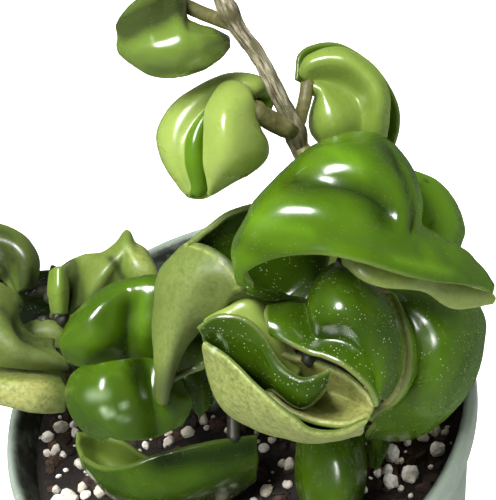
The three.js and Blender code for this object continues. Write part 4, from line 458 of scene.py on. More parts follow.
         [(11, 33.2, 18.5), (13.4, 36.4, 15.5), (17, 34.4, 14), (19.6, 31.2, 13.5), (20.5, 27.5, 13),
          (20.5, 23.4, 12.5), (21.5, 18.5, 11.5)],
         [(12.4, 32, 19), (14.1, 30.7, 18.5), (13.1, 28.5, 18.5), (12.8, 26, 18.5), (13.3, 23.6, 18),
          (15, 21.4, 17), (17.6, 18.5, 15)],
         [(12.3, 32.8, 21), (14.6, 31.8, 22), (15.6, 29.4, 23), (16.8, 27.4, 23.4), (17.4, 25, 23),
          (18.3, 22.2, 21), (20, 18.4, 17.5)],
         [(11.6, 33.6, 21.5), (14.2, 34, 20.5), (18.2, 33, 19.8), (21.4, 30.8, 19.6), (22.6, 27.8, 19.8),
          (22.7, 23.8, 18.8), (23, 18.6, 16)],
         [(10.6, 34.6, 22), (13.2, 37.4, 24), (19, 37.8, 25), (24.2, 34, 25), (26.1, 29.6, 24.4),
          (25.9, 24.8, 22), (25.4, 18.8, 17)],
         [(9.9, 35.6, 21.6), (12.4, 39, 22), (18.6, 40.4, 22), (25, 36.9, 22), (28, 31.4, 22),
          (28, 25.6, 19.6), (27, 19, 15.6)],
     ]},
    {"name": "leaf_edge_dome", "stem": "stem_back", "root": (0, 1), "glossy": -1, "cells": (5, 9),
     "tone": -0.35, "wax": 0.6, "shaded_stalk_tone": -1,
     "shades": [
         # Painted shade darkens the hollow on the left and the creases round the lower lobe.
         (1, 2.2, [(-52, 3), (-49.3, 0.5), (-49, -4)]),
         (0.8, 0.5, [(-44.1, -4), (-44.4, -8)]),
         (0.7, 1.6, [(-48.5, 1.2), (-45.5, -1.4), (-44.4, -5), (-44.4, -12)]),
     ],
     "net": [
         [(-60, 1, -26), (-55, 4.5, -25), (-50, 5, -24), (-45.5, 3.2, -23), (-42.4, -0.5, -22),
          (-41.9, -4, -22), (-43, -8, -23)],
         [(-58, -1, -20), (-54, 1.5, -19.5), (-50, 2, -19), (-46.6, 0.8, -18), (-44.6, -1.6, -17.5),
          (-44.2, -4.4, -18), (-45, -8, -20)],
         [(-56, -3, -21), (-53, -1.5, -22), (-50, -1, -22.5), (-48.2, -2.8, -22), (-47.2, -4.8, -22),
          (-46.4, -7, -22), (-46, -9.6, -22.6)],
         [(-55, -6, -18), (-52.5, -5, -18), (-50, -5, -18.6), (-48.4, -6.6, -20.4), (-47, -8.8, -21),
          (-45.7, -10.8, -21.5), (-44.6, -11.4, -22.5)],
     ]},
    {"name": "leaf_edge_crest", "stem": "stem_back", "root": (0.9, 0), "at": 0.75, "glossy": -1,
     "cells": (5, 9), "tone": -0.2, "wax": 0.4, "shaded_stalk_tone": -1,
     "shades": [
         # Painted shade darkens the hollow on the left and the groove; painted light brightens the lobe on
         # the right.
         (1, 1.5, [(-35.2, -3.2), (-34.7, -7), (-34.6, -11)]),
         (1, 0.7, [(-27.2, -2.2), (-25.4, -4.4), (-24, -6)]),
         (-0.5, 2.2, [(-22.2, -0.5), (-20.6, -3.6)]),
         (0.8, 1.7, [(-35.4, -3.4), (-34.4, -6.4), (-33, -9.4)]),
     ],
     "net": [
         [(-39, -4.5, -21), (-36, -2.2, -20), (-33, -1, -18.5), (-29, -0.6, -18), (-26, 1.6, -18),
          (-24.2, 3.9, -18), (-23, 1.4, -17.5), (-20.8, 0, -17), (-19.3, -3, -16)],
         [(-37.5, -6, -20), (-35, -5.5, -21), (-32, -4, -16.5), (-28.5, -3.2, -13), (-26, -1.5, -13.5),
          (-24.4, 0.5, -13.5), (-22.8, -0.8, -12.5), (-20.5, -2, -12.5), (-18.4, -4.5, -13)],
         [(-37, -10, -21), (-35.2, -9, -23), (-33, -7.5, -17), (-30, -6.6, -13), (-27.5, -5.5, -14.5),
          (-25, -4.5, -14.5), (-22.5, -4.8, -12), (-20, -5.5, -12), (-17.5, -7, -13)],
         [(-37, -14, -23), (-35.6, -13, -25), (-34.3, -12, -19), (-32, -10.5, -16), (-29, -9.5, -17),
          (-26, -9, -18), (-23, -9, -17), (-20, -9, -17), (-17.5, -10, -18)],
     ]},
    {"name": "leaf_edge_roll", "stem": "stem_back", "root": (0, 0.67), "glossy": 1, "cells": (5, 7), "wax": 1,
     "shaded_stalk_tone": -1,
     "net": [
         [(-39.3, -4, -16.2), (-39.8, -8, -16.2), (-39, -12.8, -17.2)],
         [(-37.8, -3.2, -13.2), (-37.9, -8, -12.4), (-37.7, -12.8, -14.7)],
         [(-36.6, -3.8, -15.7), (-36.1, -8, -15.2), (-36.4, -12.8, -16.7)],
     ]},
    # Painted shade: a near-black leaf, tone -0.95, filling the shaded hollow behind the edge leaves.
    {"name": "leaf_edge_hollow", "stem": "stem_back", "root": (0, 1), "glossy": 1, "cells": (5, 7),
     "tone": -0.95,
     "net": [
         [(-52, -6, -29), (-47, -5, -29.5), (-42.3, -4.3, -29.5), (-38.6, -4, -29)],
         [(-52, -10, -32), (-47, -10, -33.5), (-42.5, -9.5, -34), (-38.5, -9, -33.5)],
         [(-51, -15.5, -32), (-46.5, -15.5, -33), (-42, -15, -34), (-38, -14.6, -34.5)],
     ]},
    {"name": "leaf_edge_fold", "stem": "stem_back", "root": (1, 1), "glossy": -1, "cells": (5, 9),
     "tone": -0.42, "shaded_stalk_tone": -1,
     "shades": [
         (0.6, 0.9, [(-45.6, -18.4), (-42, -19.6), (-38, -19.9)]),
         (0.5, 1.2, [(-39, -23.8), (-35.5, -23.6)]),
         (0.6, 0.7, [(-49.6, -12), (-46, -17), (-42, -18.4), (-38, -18.2)]),
     ],
     "net": [
         [(-62, -4, -16), (-55, -5.3, -16), (-49.6, -6.7, -17), (-46.4, -9.6, -17), (-46, -13.8, -17),
          (-43.5, -17, -17), (-38.6, -18, -17)],
         [(-62, -8, -11), (-56, -9.5, -10), (-51, -11, -10), (-48.3, -13.5, -11), (-47, -17, -11),
          (-43.5, -19.5, -12), (-38.5, -20, -13.5)],
         [(-60, -14, -9), (-55, -16, -7.5), (-50.5, -17.5, -8), (-47, -19.5, -8), (-43, -21, -9.5),
          (-39, -21.8, -11), (-36, -22.6, -13.5)],
         [(-60, -19, -12), (-55, -21.5, -12), (-50.5, -23, -12), (-46, -23.6, -12.5), (-42, -23.8, -14),
          (-38.5, -23.8, -16), (-35.5, -23.7, -18)],
     ]},
    {"name": "leaf_edge_lens", "stem": "stem_back", "root": (0, 0.5), "at": 0.6, "glossy": -1,
     "cells": (5, 7), "tone": -0.25, "shaded_stalk_tone": -1,
     "net": [
         [(-46, -16, -26), (-43, -14.2, -25.5), (-41, -13.9, -25), (-38.5, -14.4, -25),
          (-36.6, -15.9, -25.5)],
         [(-46, -17.5, -24.5), (-43, -16.5, -23.5), (-41, -16.3, -23.3), (-38.5, -16.5, -23.5),
          (-36.4, -17.4, -24.5)],
         [(-45.5, -20, -25), (-43, -19.5, -25), (-41, -19.3, -25), (-38.5, -19.5, -25), (-36.5, -20, -25.5)],
     ]},
    {"name": "leaf_edge_pale", "stem": "stem_back", "root": (1, 1), "glossy": -1, "cells": (6, 9),
     "tone": 0.2,
     "shades": [
         (-0.5, 2.2, [(-50, -29), (-46, -29), (-42, -28)]),
         (0.5, 1.5, [(-37.5, -26), (-37, -30)]),
     ],
     "net": [
         [(-62, -21.8, -21), (-55, -22.8, -21), (-49.6, -23.4, -21), (-45, -23.4, -21), (-41, -23.8, -21.5),
          (-37.5, -24.6, -22.5)],
         [(-62, -24, -13.6), (-55, -25.1, -12.6), (-49.6, -25.5, -12.6), (-45, -25.6, -13), (-41, -25.9, -14),
          (-37, -26.4, -16.6)],
         [(-62, -25.5, -9), (-55, -26.5, -8), (-49.5, -27, -8), (-45, -27.2, -8.5), (-41, -27.5, -10),
          (-36.5, -28, -13.5)],
         [(-61, -28.5, -11), (-55, -29.5, -9.5), (-49.6, -30.2, -9.5), (-45, -31.2, -10), (-41, -31.8, -11.5),
          (-36.5, -31.8, -15)],
         [(-60, -28, -17), (-55, -29, -17), (-49.6, -29.5, -17), (-45, -30.3, -17), (-41, -30.6, -18),
          (-37, -30.5, -19)],
     ]},
]

# The leaves on the far side and above, by their curl: angles in degrees, lengths in millimetres.
FAR_LEAVES = [
    {"name": "leaf_far_centre", "stem": "stem_main", "base": (29, 2, 104), "heading": 80, "rise": 20,
     "length": 30, "width": 27, "arch": 110, "fold": 150, "wave": 1.5},
    {"name": "leaf_far_right", "stem": "stem_main", "base": (42, -8, 100), "heading": 80, "rise": 0,
     "length": 22, "width": 24, "arch": 90, "fold": 160, "wave": 1.5},
    {"name": "leaf_far_left", "stem": "stem_left", "base": (-11, 13, 98), "heading": 92, "rise": 12,
     "length": 28, "width": 26, "arch": 105, "fold": 150, "wave": 1.6},
    {"name": "leaf_far_middle", "stem": "stem_left", "base": (-4, 10, 104), "heading": 45, "rise": 15,
     "length": 28, "width": 25, "arch": 95, "fold": 165, "wave": 1.4},
    {"name": "leaf_far_low", "stem": "stem_back", "base": (-31, 25, 93), "heading": 95, "rise": 20,
     "length": 22, "width": 22, "arch": 80, "fold": 140, "wave": 1.2},
    {"name": "leaf_tip_left", "stem": "stem_main", "base": (15.5, 7, 217), "heading": 175, "rise": 55,
     "length": 17, "width": 14, "arch": 110, "fold": 140, "wave": 0.6},
    {"name": "leaf_tip_right", "stem": "stem_main", "base": (25, 8, 217), "heading": 10, "rise": 60,
     "length": 15, "width": 12, "arch": 100, "fold": 140, "wave": 0.6},
]

# ---------------------------------------------------------------- drawing plane to the part's frame
FORWARD = np.array([0.0, math.cos(DRAW["elevation"]), -math.sin(DRAW["elevation"])])
LEVEL = np.array([1.0, 0.0, 0.0])
STEEP = np.cross(LEVEL, FORWARD)
DRAW_RIGHT = math.cos(DRAW["roll"]) * LEVEL - math.sin(DRAW["roll"]) * STEEP
DRAW_UP = math.sin(DRAW["roll"]) * LEVEL + math.cos(DRAW["roll"]) * STEEP


def from_eye(points):
    """Points on the drawing plane, measured from the eye in the part's directions."""
    points = np.asarray(points, float)
    reach = DRAW["distance"] - points[..., 2:3]
    scale = reach / DRAW["distance"]
    return reach * FORWARD + scale * (points[..., 0:1] * DRAW_RIGHT + points[..., 1:2] * DRAW_UP)


EYE = np.array([0.0, 0.0, POT["height"]]) - from_eye(DRAW["rim"])


def from_drawing(points):
    """Points on the drawing plane in the part's frame, in millimetres."""
    return EYE + from_eye(points)


# ---------------------------------------------------------------- smooth sampling
STROKE_SAMPLES = 24
TINY = 1e-12  # keeps a vector without length from dividing by zero


def sample_weights(size, places):
    """Catmull-Rom weights at places from 0 to 1 along a row of points, the ends carried on straight."""
    places = np.asarray(places, float) * (size - 1)
    start = np.clip(places.astype(int), 0, size - 2)
    f = places - start
    rows = np.arange(len(places))
    padded = np.zeros((len(places), size + 2))
    padded[rows, start] += -0.5 * f + f * f - 0.5 * f ** 3
    padded[rows, start + 1] += 1 - 2.5 * f * f + 1.5 * f ** 3
    padded[rows, start + 2] += 0.5 * f + 2 * f * f - 1.5 * f ** 3
    padded[rows, start + 3] += -0.5 * f * f + 0.5 * f ** 3
    padded[:, 1] += 2 * padded[:, 0]
    padded[:, 2] -= padded[:, 0]
    padded[:, size] += 2 * padded[:, size + 1]
    padded[:, size - 1] -= padded[:, size + 1]
    return padded[:, 1:size + 1]


def sample_net(net, down, across):
    """The smooth surface through a net's points, at places from 0 to 1 down and across it."""
    net = np.asarray(net, float)
    rows = sample_weights(net.shape[0], down)
    columns = sample_weights(net.shape[1], across)
    return np.einsum("ur,rcx,vc->uvx", rows, net, columns)


def stroke_depth(strokes, points):
    """How strongly the strokes, drawn on the page, reach each point."""
    depth = np.zeros(points.shape[:-1])
    for strength, width, path in strokes:
        trail = sample_weights(len(path), np.linspace(0, 1, STROKE_SAMPLES)) @ np.asarray(path, float)
        near = np.linalg.norm(points[..., None, :2] - trail, axis=-1).min(axis=-1)
        depth += strength * np.exp(-(near / width) ** 2)
    return depth


def unit(vectors):
    return vectors / (np.linalg.norm(vectors, axis=-1, keepdims=True) + TINY)


def blade_grid(leaf, down, across):
    """The blade's middle surface in the part's frame, in millimetres."""
    points = sample_net(leaf["net"], down, across)
    if leaf.get("world"):
        return points
    points[..., 2] -= stroke_depth(leaf.get("grooves", ()), points)
    return from_drawing(points)


def curled_net(form):
    """A curled leaf: its midrib arches over its length, and its sides fold up round the midrib."""
    azimuth = math.radians(form["heading"])
    ahead = np.array([math.cos(azimuth), math.sin(azimuth), 0.0])
    across = np.array([-math.sin(azimuth), math.cos(azimuth), 0.0])
    upward = np.array([0.0, 0.0, 1.0])
    position = np.array(form["base"], float)
    turn = math.radians(form["fold"]) / 2
    rows = []
    for i in range(CURLED["rows"]):
        along = i / (CURLED["rows"] - 1)
        slope = math.radians(form["rise"] - form["arch"] * along)
        tangent = ahead * math.cos(slope) + upward * math.sin(slope)
        crown = -ahead * math.sin(slope) + upward * math.cos(slope)
        swell = max(math.sin(math.pi * along ** CURLED["widest"]), 0.0) ** CURLED["fullness"]
        radius = form["width"] / 2 * (CURLED["end_width"] + (1 - CURLED["end_width"]) * swell) / turn
        row = []
        for j in range(CURLED["columns"]):
            side = 2 * j / (CURLED["columns"] - 1) - 1
            phase = CURLED["ripple_phases"][side > 0]
            ripple = form["wave"] * side * side * math.sin(2 * math.pi * along + phase)
            lift = radius * (1 - math.cos(turn * side)) + ripple
            row.append(position + across * radius * math.sin(turn * side) + crown * lift)
        rows.append(row)
        position = position + tangent * form["length"] / (CURLED["rows"] - 1)
    return np.array(rows)


# ---------------------------------------------------------------- meshes
STEEP_START = 0.8  # a path that starts nearer to the x axis than this takes its first normal from the y axis


def new_object(name, vertices, faces, attributes=None, smooth=True):
    """A mesh object from millimetre vertices, with a float attribute for each named array."""
    mesh = bpy.data.meshes.new(name)
    faces = np.asarray(faces, dtype=np.int32)
    vertices = np.asarray(vertices, dtype=np.float32) * MM
    size = faces.shape[1]
    mesh.vertices.add(len(vertices))
    mesh.vertices.foreach_set("co", vertices.ravel())
    mesh.loops.add(faces.size)
    mesh.loops.foreach_set("vertex_index", faces.ravel())
    mesh.polygons.add(len(faces))
    mesh.polygons.foreach_set("loop_start", np.arange(0, faces.size, size, dtype=np.int32))
    mesh.update(calc_edges=True)
    mesh.polygons.foreach_set("use_smooth", np.full(len(faces), smooth))
    for key, values in (attributes or {}).items():
        layer = mesh.attributes.new(key, "FLOAT", "POINT")
        layer.data.foreach_set("value", np.asarray(values, dtype=np.float32))
    mesh.validate()
    mesh.update()
    made = bpy.data.objects.new(name, mesh)
    bpy.context.scene.collection.objects.link(made)
    return made


class Build:
    """Quads and their vertex attributes, gathered for one object."""

    def __init__(self, keys=()):
        self.keys = keys
        self.vertices = []
        self.faces = []
        self.values = {key: [] for key in keys}
        self.count = 0

    def add(self, vertices, faces, **values):
        vertices = np.asarray(vertices, float).reshape(-1, 3)
        self.vertices.append(vertices)
        self.faces.append(np.asarray(faces, int) + self.count)
        for key in self.keys:
            self.values[key].append(np.broadcast_to(values.get(key, 0.0), len(vertices)).astype(float))
        self.count += len(vertices)

    def object(self, name, smooth=True):
        attributes = {key: np.concatenate(parts) for key, parts in self.values.items()}
        return new_object(name, np.concatenate(self.vertices), np.concatenate(self.faces), attributes, smooth)


def grid_faces(rows, columns, wrap=False):
    """Quads of a grid, wrapped round its columns or not."""
    i, j = np.meshgrid(np.arange(rows - 1), np.arange(columns if wrap else columns - 1), indexing="ij")
    here, below, beside = i * columns, (i + 1) * columns, (j + 1) % columns
    return np.stack([here + j, below + j, below + beside, here + beside], -1).reshape(-1, 4)


def circle(sides):
    """Angles round a full turn."""
    return np.linspace(0, 2 * math.pi, sides, endpoint=False)


def ring_tube(points, radii, sides):
    """Rings of vertices along a path, turned as little as possible from one to the next."""
    tangents = unit(np.gradient(points, axis=0))
    steep = abs(tangents[0][0]) >= STEEP_START
    normal = unit(np.cross([0.0, 1.0, 0.0] if steep else [1.0, 0.0, 0.0], tangents[0]))
    cosine, sine = np.cos(circle(sides))[:, None], np.sin(circle(sides))[:, None]
    rings = []
    for point, tangent, radius in zip(points, tangents, radii):
        normal = unit(normal - tangent * normal.dot(tangent))
        rings.append(point + radius * (cosine * normal + sine * np.cross(tangent, normal)))
    return np.array(rings)


def closed_tube(build, rings, **values):
    """Adds a tube with its ends closed to points."""
    count, sides = rings.shape[:2]
    start, end = (np.tile(ring.mean(axis=0), (1, sides, 1)) for ring in (rings[0], rings[-1]))
    build.add(np.concatenate([start, rings, end]), grid_faces(count + 2, sides, wrap=True)[:, ::-1], **values)


# ---------------------------------------------------------------- materials
MIX_INPUTS = (0, 6, 7)  # the colour sockets of a Mix node: its factor, A and B
MIX_OUTPUT = 2


class Graph:
    """A material's nodes, added in one line each."""

    def __init__(self, name):
        self.material = bpy.data.materials.new(name)
        self.material.use_nodes = True
        self.tree = self.material.node_tree
        self.surface = self.tree.nodes["Principled BSDF"]
        coordinates = self.tree.nodes.new("ShaderNodeTexCoord")
        self.place = coordinates.outputs["Object"]

    def feed(self, socket, value):
        if isinstance(value, bpy.types.NodeSocket):
            self.tree.links.new(value, socket)
        else:
            socket.default_value = value

    def node(self, kind, inputs=None, **settings):
        made = self.tree.nodes.new(kind)
        for key, value in settings.items():
            setattr(made, key, value)
        for key, value in (inputs or {}).items():
            self.feed(made.inputs[key], value)
        return made

    def noise(self, size, detail=3.0, rough=0.5):
        """Noise whose features are about size millimetres across."""
        inputs = {"Vector": self.place, "Scale": 1 / (size * MM), "Detail": detail, "Roughness": rough}
        return self.node("ShaderNodeTexNoise", inputs).outputs[0]

    def cells(self, size):
        """Distance to the nearest of scattered points about size millimetres apart."""
        inputs = {"Vector": self.place, "Scale": 1 / (size * MM)}
        return self.node("ShaderNodeTexVoronoi", inputs).outputs["Distance"]

    def ramp(self, value, low, high, a=0.0, b=1.0):
        """Carries low..high over to a..b, and stops at both ends."""
        inputs = {"Value": value, "From Min": low, "From Max": high, "To Min": a, "To Max": b}
        return self.node("ShaderNodeMapRange", inputs, clamp=True).outputs[0]

    def math(self, operation, a, b=0.0):
        made = self.node("ShaderNodeMath", operation=operation)
        self.feed(made.inputs[0], a)
        self.feed(made.inputs[1], b)
        return made.outputs[0]

    def times(self, value, *factors):
        for factor in factors:
            value = self.math("MULTIPLY", value, factor)
        return value

    def mix(self, factor, a, b):
        """A colour between a and b; both may be plain red, green, blue."""
        made = self.node("ShaderNodeMix", data_type="RGBA")
        for index, value in zip(MIX_INPUTS, (factor, a, b)):
            self.feed(made.inputs[index], (*value, 1.0) if isinstance(value, tuple) else value)
        return made.outputs[MIX_OUTPUT]

    def attribute(self, name):
        return self.node("ShaderNodeAttribute", attribute_name=name).outputs["Fac"]

    def bump(self, height, strength, depth):
        """Relief that is depth millimetres deep."""
        inputs = {"Height": height, "Strength": strength, "Distance": depth * MM}
        self.feed(self.surface.inputs["Normal"], self.node("ShaderNodeBump", inputs).outputs[0])

    def finish(self, colour, roughness, **fixed):
        """Feeds the shader; the fixed values stand on its own sockets."""
        self.feed(self.surface.inputs["Base Color"], colour)
        self.feed(self.surface.inputs["Roughness"], roughness)
        for key, value in fixed.items():
            self.surface.inputs[key.replace("_", " ")].default_value = value
        return self.material


SPECK_SIZE = 0.75
# A leaf's vertex data: matt face, nearness to the margin, stalk, tone, pale flecks (on leaf_left_lower partly
# painted sheen) and smoothness.
LEAF_DATA = ("under", "edge", "stalk", "tone", "mark", "wax")


def leaf_material():
    g = Graph("leaf")
    under, edge, stalk, tone, mark, wax = (g.attribute(key) for key in LEAF_DATA)
    clouds = g.ramp(g.noise(14, 4), 0.3, 0.7)
    speckle = g.noise(1.1, 2)
    light, dark = g.ramp(tone, 0.0, 1.0), g.ramp(tone, -1.0, 0.0, 1.0, 0.0)
    # the glossy face: deep to mid green, with fine pale specks
    upper = g.mix(clouds, (0.026, 0.062, 0.0012), (0.06, 0.125, 0.0025))
    # High tones lighten the glossy face: the paler leaves' own colour, and painted light where a negative
    # stroke lifts the tone.
    upper = g.mix(light, upper, (0.105, 0.23, 0.006))
    rim = g.times(g.ramp(edge, 0.38, 0.85, 0.0, 0.85), g.ramp(wax, 0.0, 1.0, 1.0, 0.35))
    upper = g.mix(rim, upper, (0.2, 0.25, 0.065))
    # Low tones darken it towards near black: painted shade in hollows, creases and shaded leaves, besides a
    # few real dark specks.
    upper = g.mix(dark, upper, (0.006, 0.016, 0.001))
    specks = g.ramp(g.cells(SPECK_SIZE), 0.1, 0.2, 1.0, 0.0)
    specks = g.times(specks, g.ramp(g.noise(3.0, 2), 0.42, 0.52), g.ramp(wax, 0.0, 1.0, 0.9, 0.0))
    upper = g.mix(specks, upper, (0.36, 0.44, 0.24))
    # the matt face: pale olive, finely stippled
    lower = g.mix(clouds, (0.12, 0.165, 0.022), (0.19, 0.245, 0.045))
    lower = g.mix(g.times(wax, 0.6), lower, (0.105, 0.19, 0.02))
    stipple = g.times(g.ramp(g.cells(SPECK_SIZE), 0.15, 0.5), g.ramp(speckle, 0.3, 0.7))
    lower = g.mix(g.ramp(edge, 0.35, 1.0, 0.0, 0.25), lower, (0.24, 0.32, 0.08))
    # High tones lighten the matt face: the paler leaves' own colour, and painted light on leaf_front_lip's
    # shaded bowl and where a negative stroke lifts the tone.
    lower = g.mix(light, lower, g.mix(wax, (0.44, 0.42, 0.13), (0.4, 0.5, 0.12)))
    # Low tones darken the matt face the same way, as painted shade.
    lower = g.mix(dark, lower, (0.03, 0.045, 0.008))
    felt = g.ramp(wax, 0.0, 1.0, 1.0, 0.12)
    dots = g.times(stipple, felt, g.ramp(tone, 0.2, 1.0, 0.8, 0.35))
    lower = g.mix(dots, lower, (0.07, 0.11, 0.013))
    colour = g.mix(g.ramp(under, 0.35, 0.65), upper, lower)
    # the stalk, and the pale flecks, partly painted sheen
    stem = g.mix(g.ramp(speckle, 0.3, 0.7), (0.075, 0.07, 0.018), (0.15, 0.145, 0.045))
    # Painted shade: stalks with a low tone, down in hollows, are darkened to near black.
    stem = g.mix(dark, stem, (0.012, 0.014, 0.004))
    colour = g.mix(stalk, colour, stem)
    colour = g.mix(mark, colour, (0.36, 0.46, 0.27))
    # gloss on the upper face, felt on the lower; wax smooths both
    rough = g.math("ADD", g.ramp(under, 0.35, 0.65, 0.24, 0.6), g.ramp(g.noise(6, 3), 0.3, 0.7, -0.04, 0.05))
    rough = g.math("SUBTRACT", rough, g.times(wax, g.ramp(under, 0.35, 0.65, 0.0, 0.32)))
    rough = g.math("MAXIMUM", rough, g.times(stalk, 0.6))
    grain = g.math("ADD", g.times(speckle, 0.6), g.times(g.noise(0.45, 2), 0.4))
    grain = g.times(grain, felt, g.ramp(under, 0.3, 0.7, 0.1, 1.0))
    g.bump(grain, 0.5, 0.14)
    return g.finish(
        colour, rough, Subsurface_Weight=0.1, Subsurface_Radius=(0.0018, 0.0026, 0.0007),
        Subsurface_Scale=1.0, Specular_IOR_Level=0.7, Coat_Weight=0.05, Coat_Roughness=0.1,
    )


FIBRE_STRETCH = 0.09  # how slowly the bark's fibres change along the stem, against round it


def stem_material():
    """Bark with long pale fibres: run, turn_x and turn_y lay the noise along the stem."""
    g = Graph("stem_bark")
    along = g.times(g.attribute("run"), FIBRE_STRETCH)
    axes = {"X": g.attribute("turn_x"), "Y": g.attribute("turn_y"), "Z": along}
    place = g.node("ShaderNodeCombineXYZ", axes).outputs[0]
    inputs = {"Vector": place, "Scale": 1.9, "Detail": 4.0, "Roughness": 0.7}
    fibres = g.node("ShaderNodeTexNoise", inputs).outputs[0]
    patches = g.noise(5, 3)
    colour = g.mix(g.ramp(fibres, 0.4, 0.62), (0.065, 0.05, 0.022), (0.5, 0.45, 0.31))
    colour = g.mix(g.ramp(patches, 0.5, 0.66, 0.0, 0.7), colour, (0.1, 0.1, 0.035))
    flecks = g.ramp(g.cells(0.8), 0.07, 0.16, 1.0, 0.0)
    colour = g.mix(g.times(flecks, 0.7), colour, (0.5, 0.47, 0.36))
    # Dark bark at the nodes, and painted shade along hidden stems.
    colour = g.mix(g.attribute("joint"), colour, (0.06, 0.052, 0.016))
    g.bump(g.math("ADD", fibres, g.times(g.noise(0.5, 3), 0.5)), 0.8, 0.2)
    return g.finish(colour, g.ramp(fibres, 0.3, 0.7, 0.85, 0.6))


def pot_material():
    g = Graph("pot_plastic")
    inner_wall = g.attribute("inside")
    colour = g.mix(g.ramp(g.noise(18, 4), 0.35, 0.65), (0.2, 0.25, 0.2), (0.26, 0.31, 0.255))
    colour = g.mix(g.ramp(g.noise(0.9, 3), 0.55, 0.75, 0.0, 0.35), colour, (0.36, 0.45, 0.37))
    # Painted shade: the pot's inside and the inside of its lip are darkened to near black in streaks,
    # standing for the shade within the pot.
    painted_shade = g.times(inner_wall, g.ramp(g.noise(5, 4, 0.65), 0.34, 0.56, 0.55, 1.0))
    colour = g.mix(painted_shade, colour, (0.014, 0.016, 0.011))
    rough = g.math("ADD", g.ramp(g.noise(3, 4), 0.3, 0.7, 0.36, 0.5), g.times(inner_wall, 0.25))
    g.bump(g.noise(0.35, 3), 0.25, 0.08)
    return g.finish(colour, rough, Subsurface_Weight=0.05, Subsurface_Radius=(0.001, 0.0012, 0.001))


def soil_material():
    g = Graph("soil")
    clumps = g.noise(2.4, 5, 0.65)
    colour = g.mix(g.ramp(clumps, 0.35, 0.65), (0.002, 0.0015, 0.001), (0.014, 0.009, 0.006))
    colour = g.mix(g.ramp(g.noise(1.3, 2), 0.6, 0.72), colour, (0.035, 0.018, 0.012))
    g.bump(g.math("ADD", clumps, g.noise(0.5, 3)), 0.9, 0.5)
    return g.finish(colour, g.ramp(clumps, 0.3, 0.7, 0.8, 0.95))


def chip_material():
    g = Graph("bark_chips")
    tone = g.attribute("tone")
    colour = g.mix(tone, (0.004, 0.003, 0.002), (0.085, 0.042, 0.025))
    colour = g.mix(g.ramp(g.noise(0.8, 3), 0.4, 0.65), colour, (0.014, 0.009, 0.006))
    g.bump(g.noise(0.5, 3), 0.8, 0.2)
    return g.finish(colour, 0.85)


def perlite_material():
    g = Graph("perlite")
    tone = g.attribute("tone")
    colour = g.mix(tone, (0.56, 0.5, 0.4), (0.86, 0.83, 0.76))
    colour = g.mix(g.ramp(g.noise(0.9, 4), 0.5, 0.75, 0.0, 0.7), colour, (0.3, 0.24, 0.17))
    g.bump(g.noise(0.4, 3), 0.8, 0.2)
    return g.finish(colour, 0.8, Subsurface_Weight=0.2, Subsurface_Radius=(0.001, 0.0009, 0.0008))


MATERIALS = {
    "leaf": leaf_material(), "stem": stem_material(), "pot": pot_material(),
    "soil": soil_material(), "chips": chip_material(), "perlite": perlite_material(),
}


def dress(piece, material, node=None):
    """Gives a piece its material and its body, and hides the CAD part that it stands for."""
    piece.data.materials.append(MATERIALS[material])
    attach(piece, "root")
    if node:
        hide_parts(node)
    return piece


# ---------------------------------------------------------------- stems
STEM_GRID = (170, 36)
JOINT_LENGTH = 0.02  # the dark bark at a node, as a share of the stem's length
JOINT_DARKEST = 0.85
BARK = ((0.16, 2.6, 3), (0.09, 0.8, 5))  # layers of bumps: height, size and seed
SEED_STEPS = (7.31, 3.77, 5.13)  # how far each seed moves through the noise


def stem_route(stem, count):
    weights = sample_weights(len(stem["route"]), np.linspace(0, 1, count))
    return from_drawing(weights @ np.array(stem["route"], float))


def near_nodes(stem, along, length):
    """1 at the stem's nodes, falling to 0 away from them."""
    return sum(np.exp(-((along - node) / length) ** 2) for node in stem["nodes"])


def stem_radius(stem, along):
    low, high = stem["radius"]
    return low + (high - low) * along + NODE_SWELLING * near_nodes(stem, along, NODE_LENGTH)


def wobble(points, size, seed):
    """Smooth noise from -1 to 1 at each point, with features of about size millimetres."""
    shift = Vector(seed * step for step in SEED_STEPS)
    values = [noise.noise(Vector(point) / size + shift) for point in points.reshape(-1, 3)]
    return np.array(values).reshape(points.shape[:-1])


def relief(points, layers):
    """Layers of wobble added up, each with its height, size and seed."""
    return sum(height * wobble(points, size, seed) for height, size, seed in layers)


def build_stem(name, stem):
    rings_count, sides = STEM_GRID
    route = stem_route(stem, rings_count)
    along = np.linspace(0, 1, rings_count)
    radii = stem_radius(stem, along)
    rings = ring_tube(route, radii, sides)
    centre = route[:, None]
    rings = centre + (rings - centre) * (1 + relief(rings, BARK) / radii[:, None])[..., None]
    run = np.concatenate([[0], np.cumsum(np.linalg.norm(np.diff(route, axis=0), axis=-1))])
    turn = circle(sides)
    joint = np.minimum(near_nodes(stem, along, JOINT_LENGTH), JOINT_DARKEST)
    # Painted shade: a hidden stem is darkened all along, as at its nodes.
    joint = np.maximum(joint, stem.get("shade", 0.0))

    def each(values):
        """One value for every vertex of the tube, its two closed ends included."""
        return np.pad(values, ((1, 1), (0, 0)), mode="edge").ravel()

    build = Build(("run", "turn_x", "turn_y", "joint"))
    closed_tube(
        build, rings, run=each(run[:, None] + 0 * turn), joint=each(joint[:, None] + 0 * turn),
        turn_x=each(radii[:, None] * np.cos(turn)), turn_y=each(radii[:, None] * np.sin(turn)),
    )
    return dress(build.object(f"{name}_piece"), "stem", node=name)


for stem_name, stem_form in STEMS.items():
    build_stem(stem_name, stem_form)


# ---------------------------------------------------------------- leaves
LEAF_GRID = (42, 74)
FAR_GRID = (34, 46)
FAR_SEED = 50
CROWDING = 0.12  # how much a blade's rows and columns crowd towards its margin
SMOOTHINGS = 3
EDGE_ROUND = 0.9
EDGE_BAND = 0.85
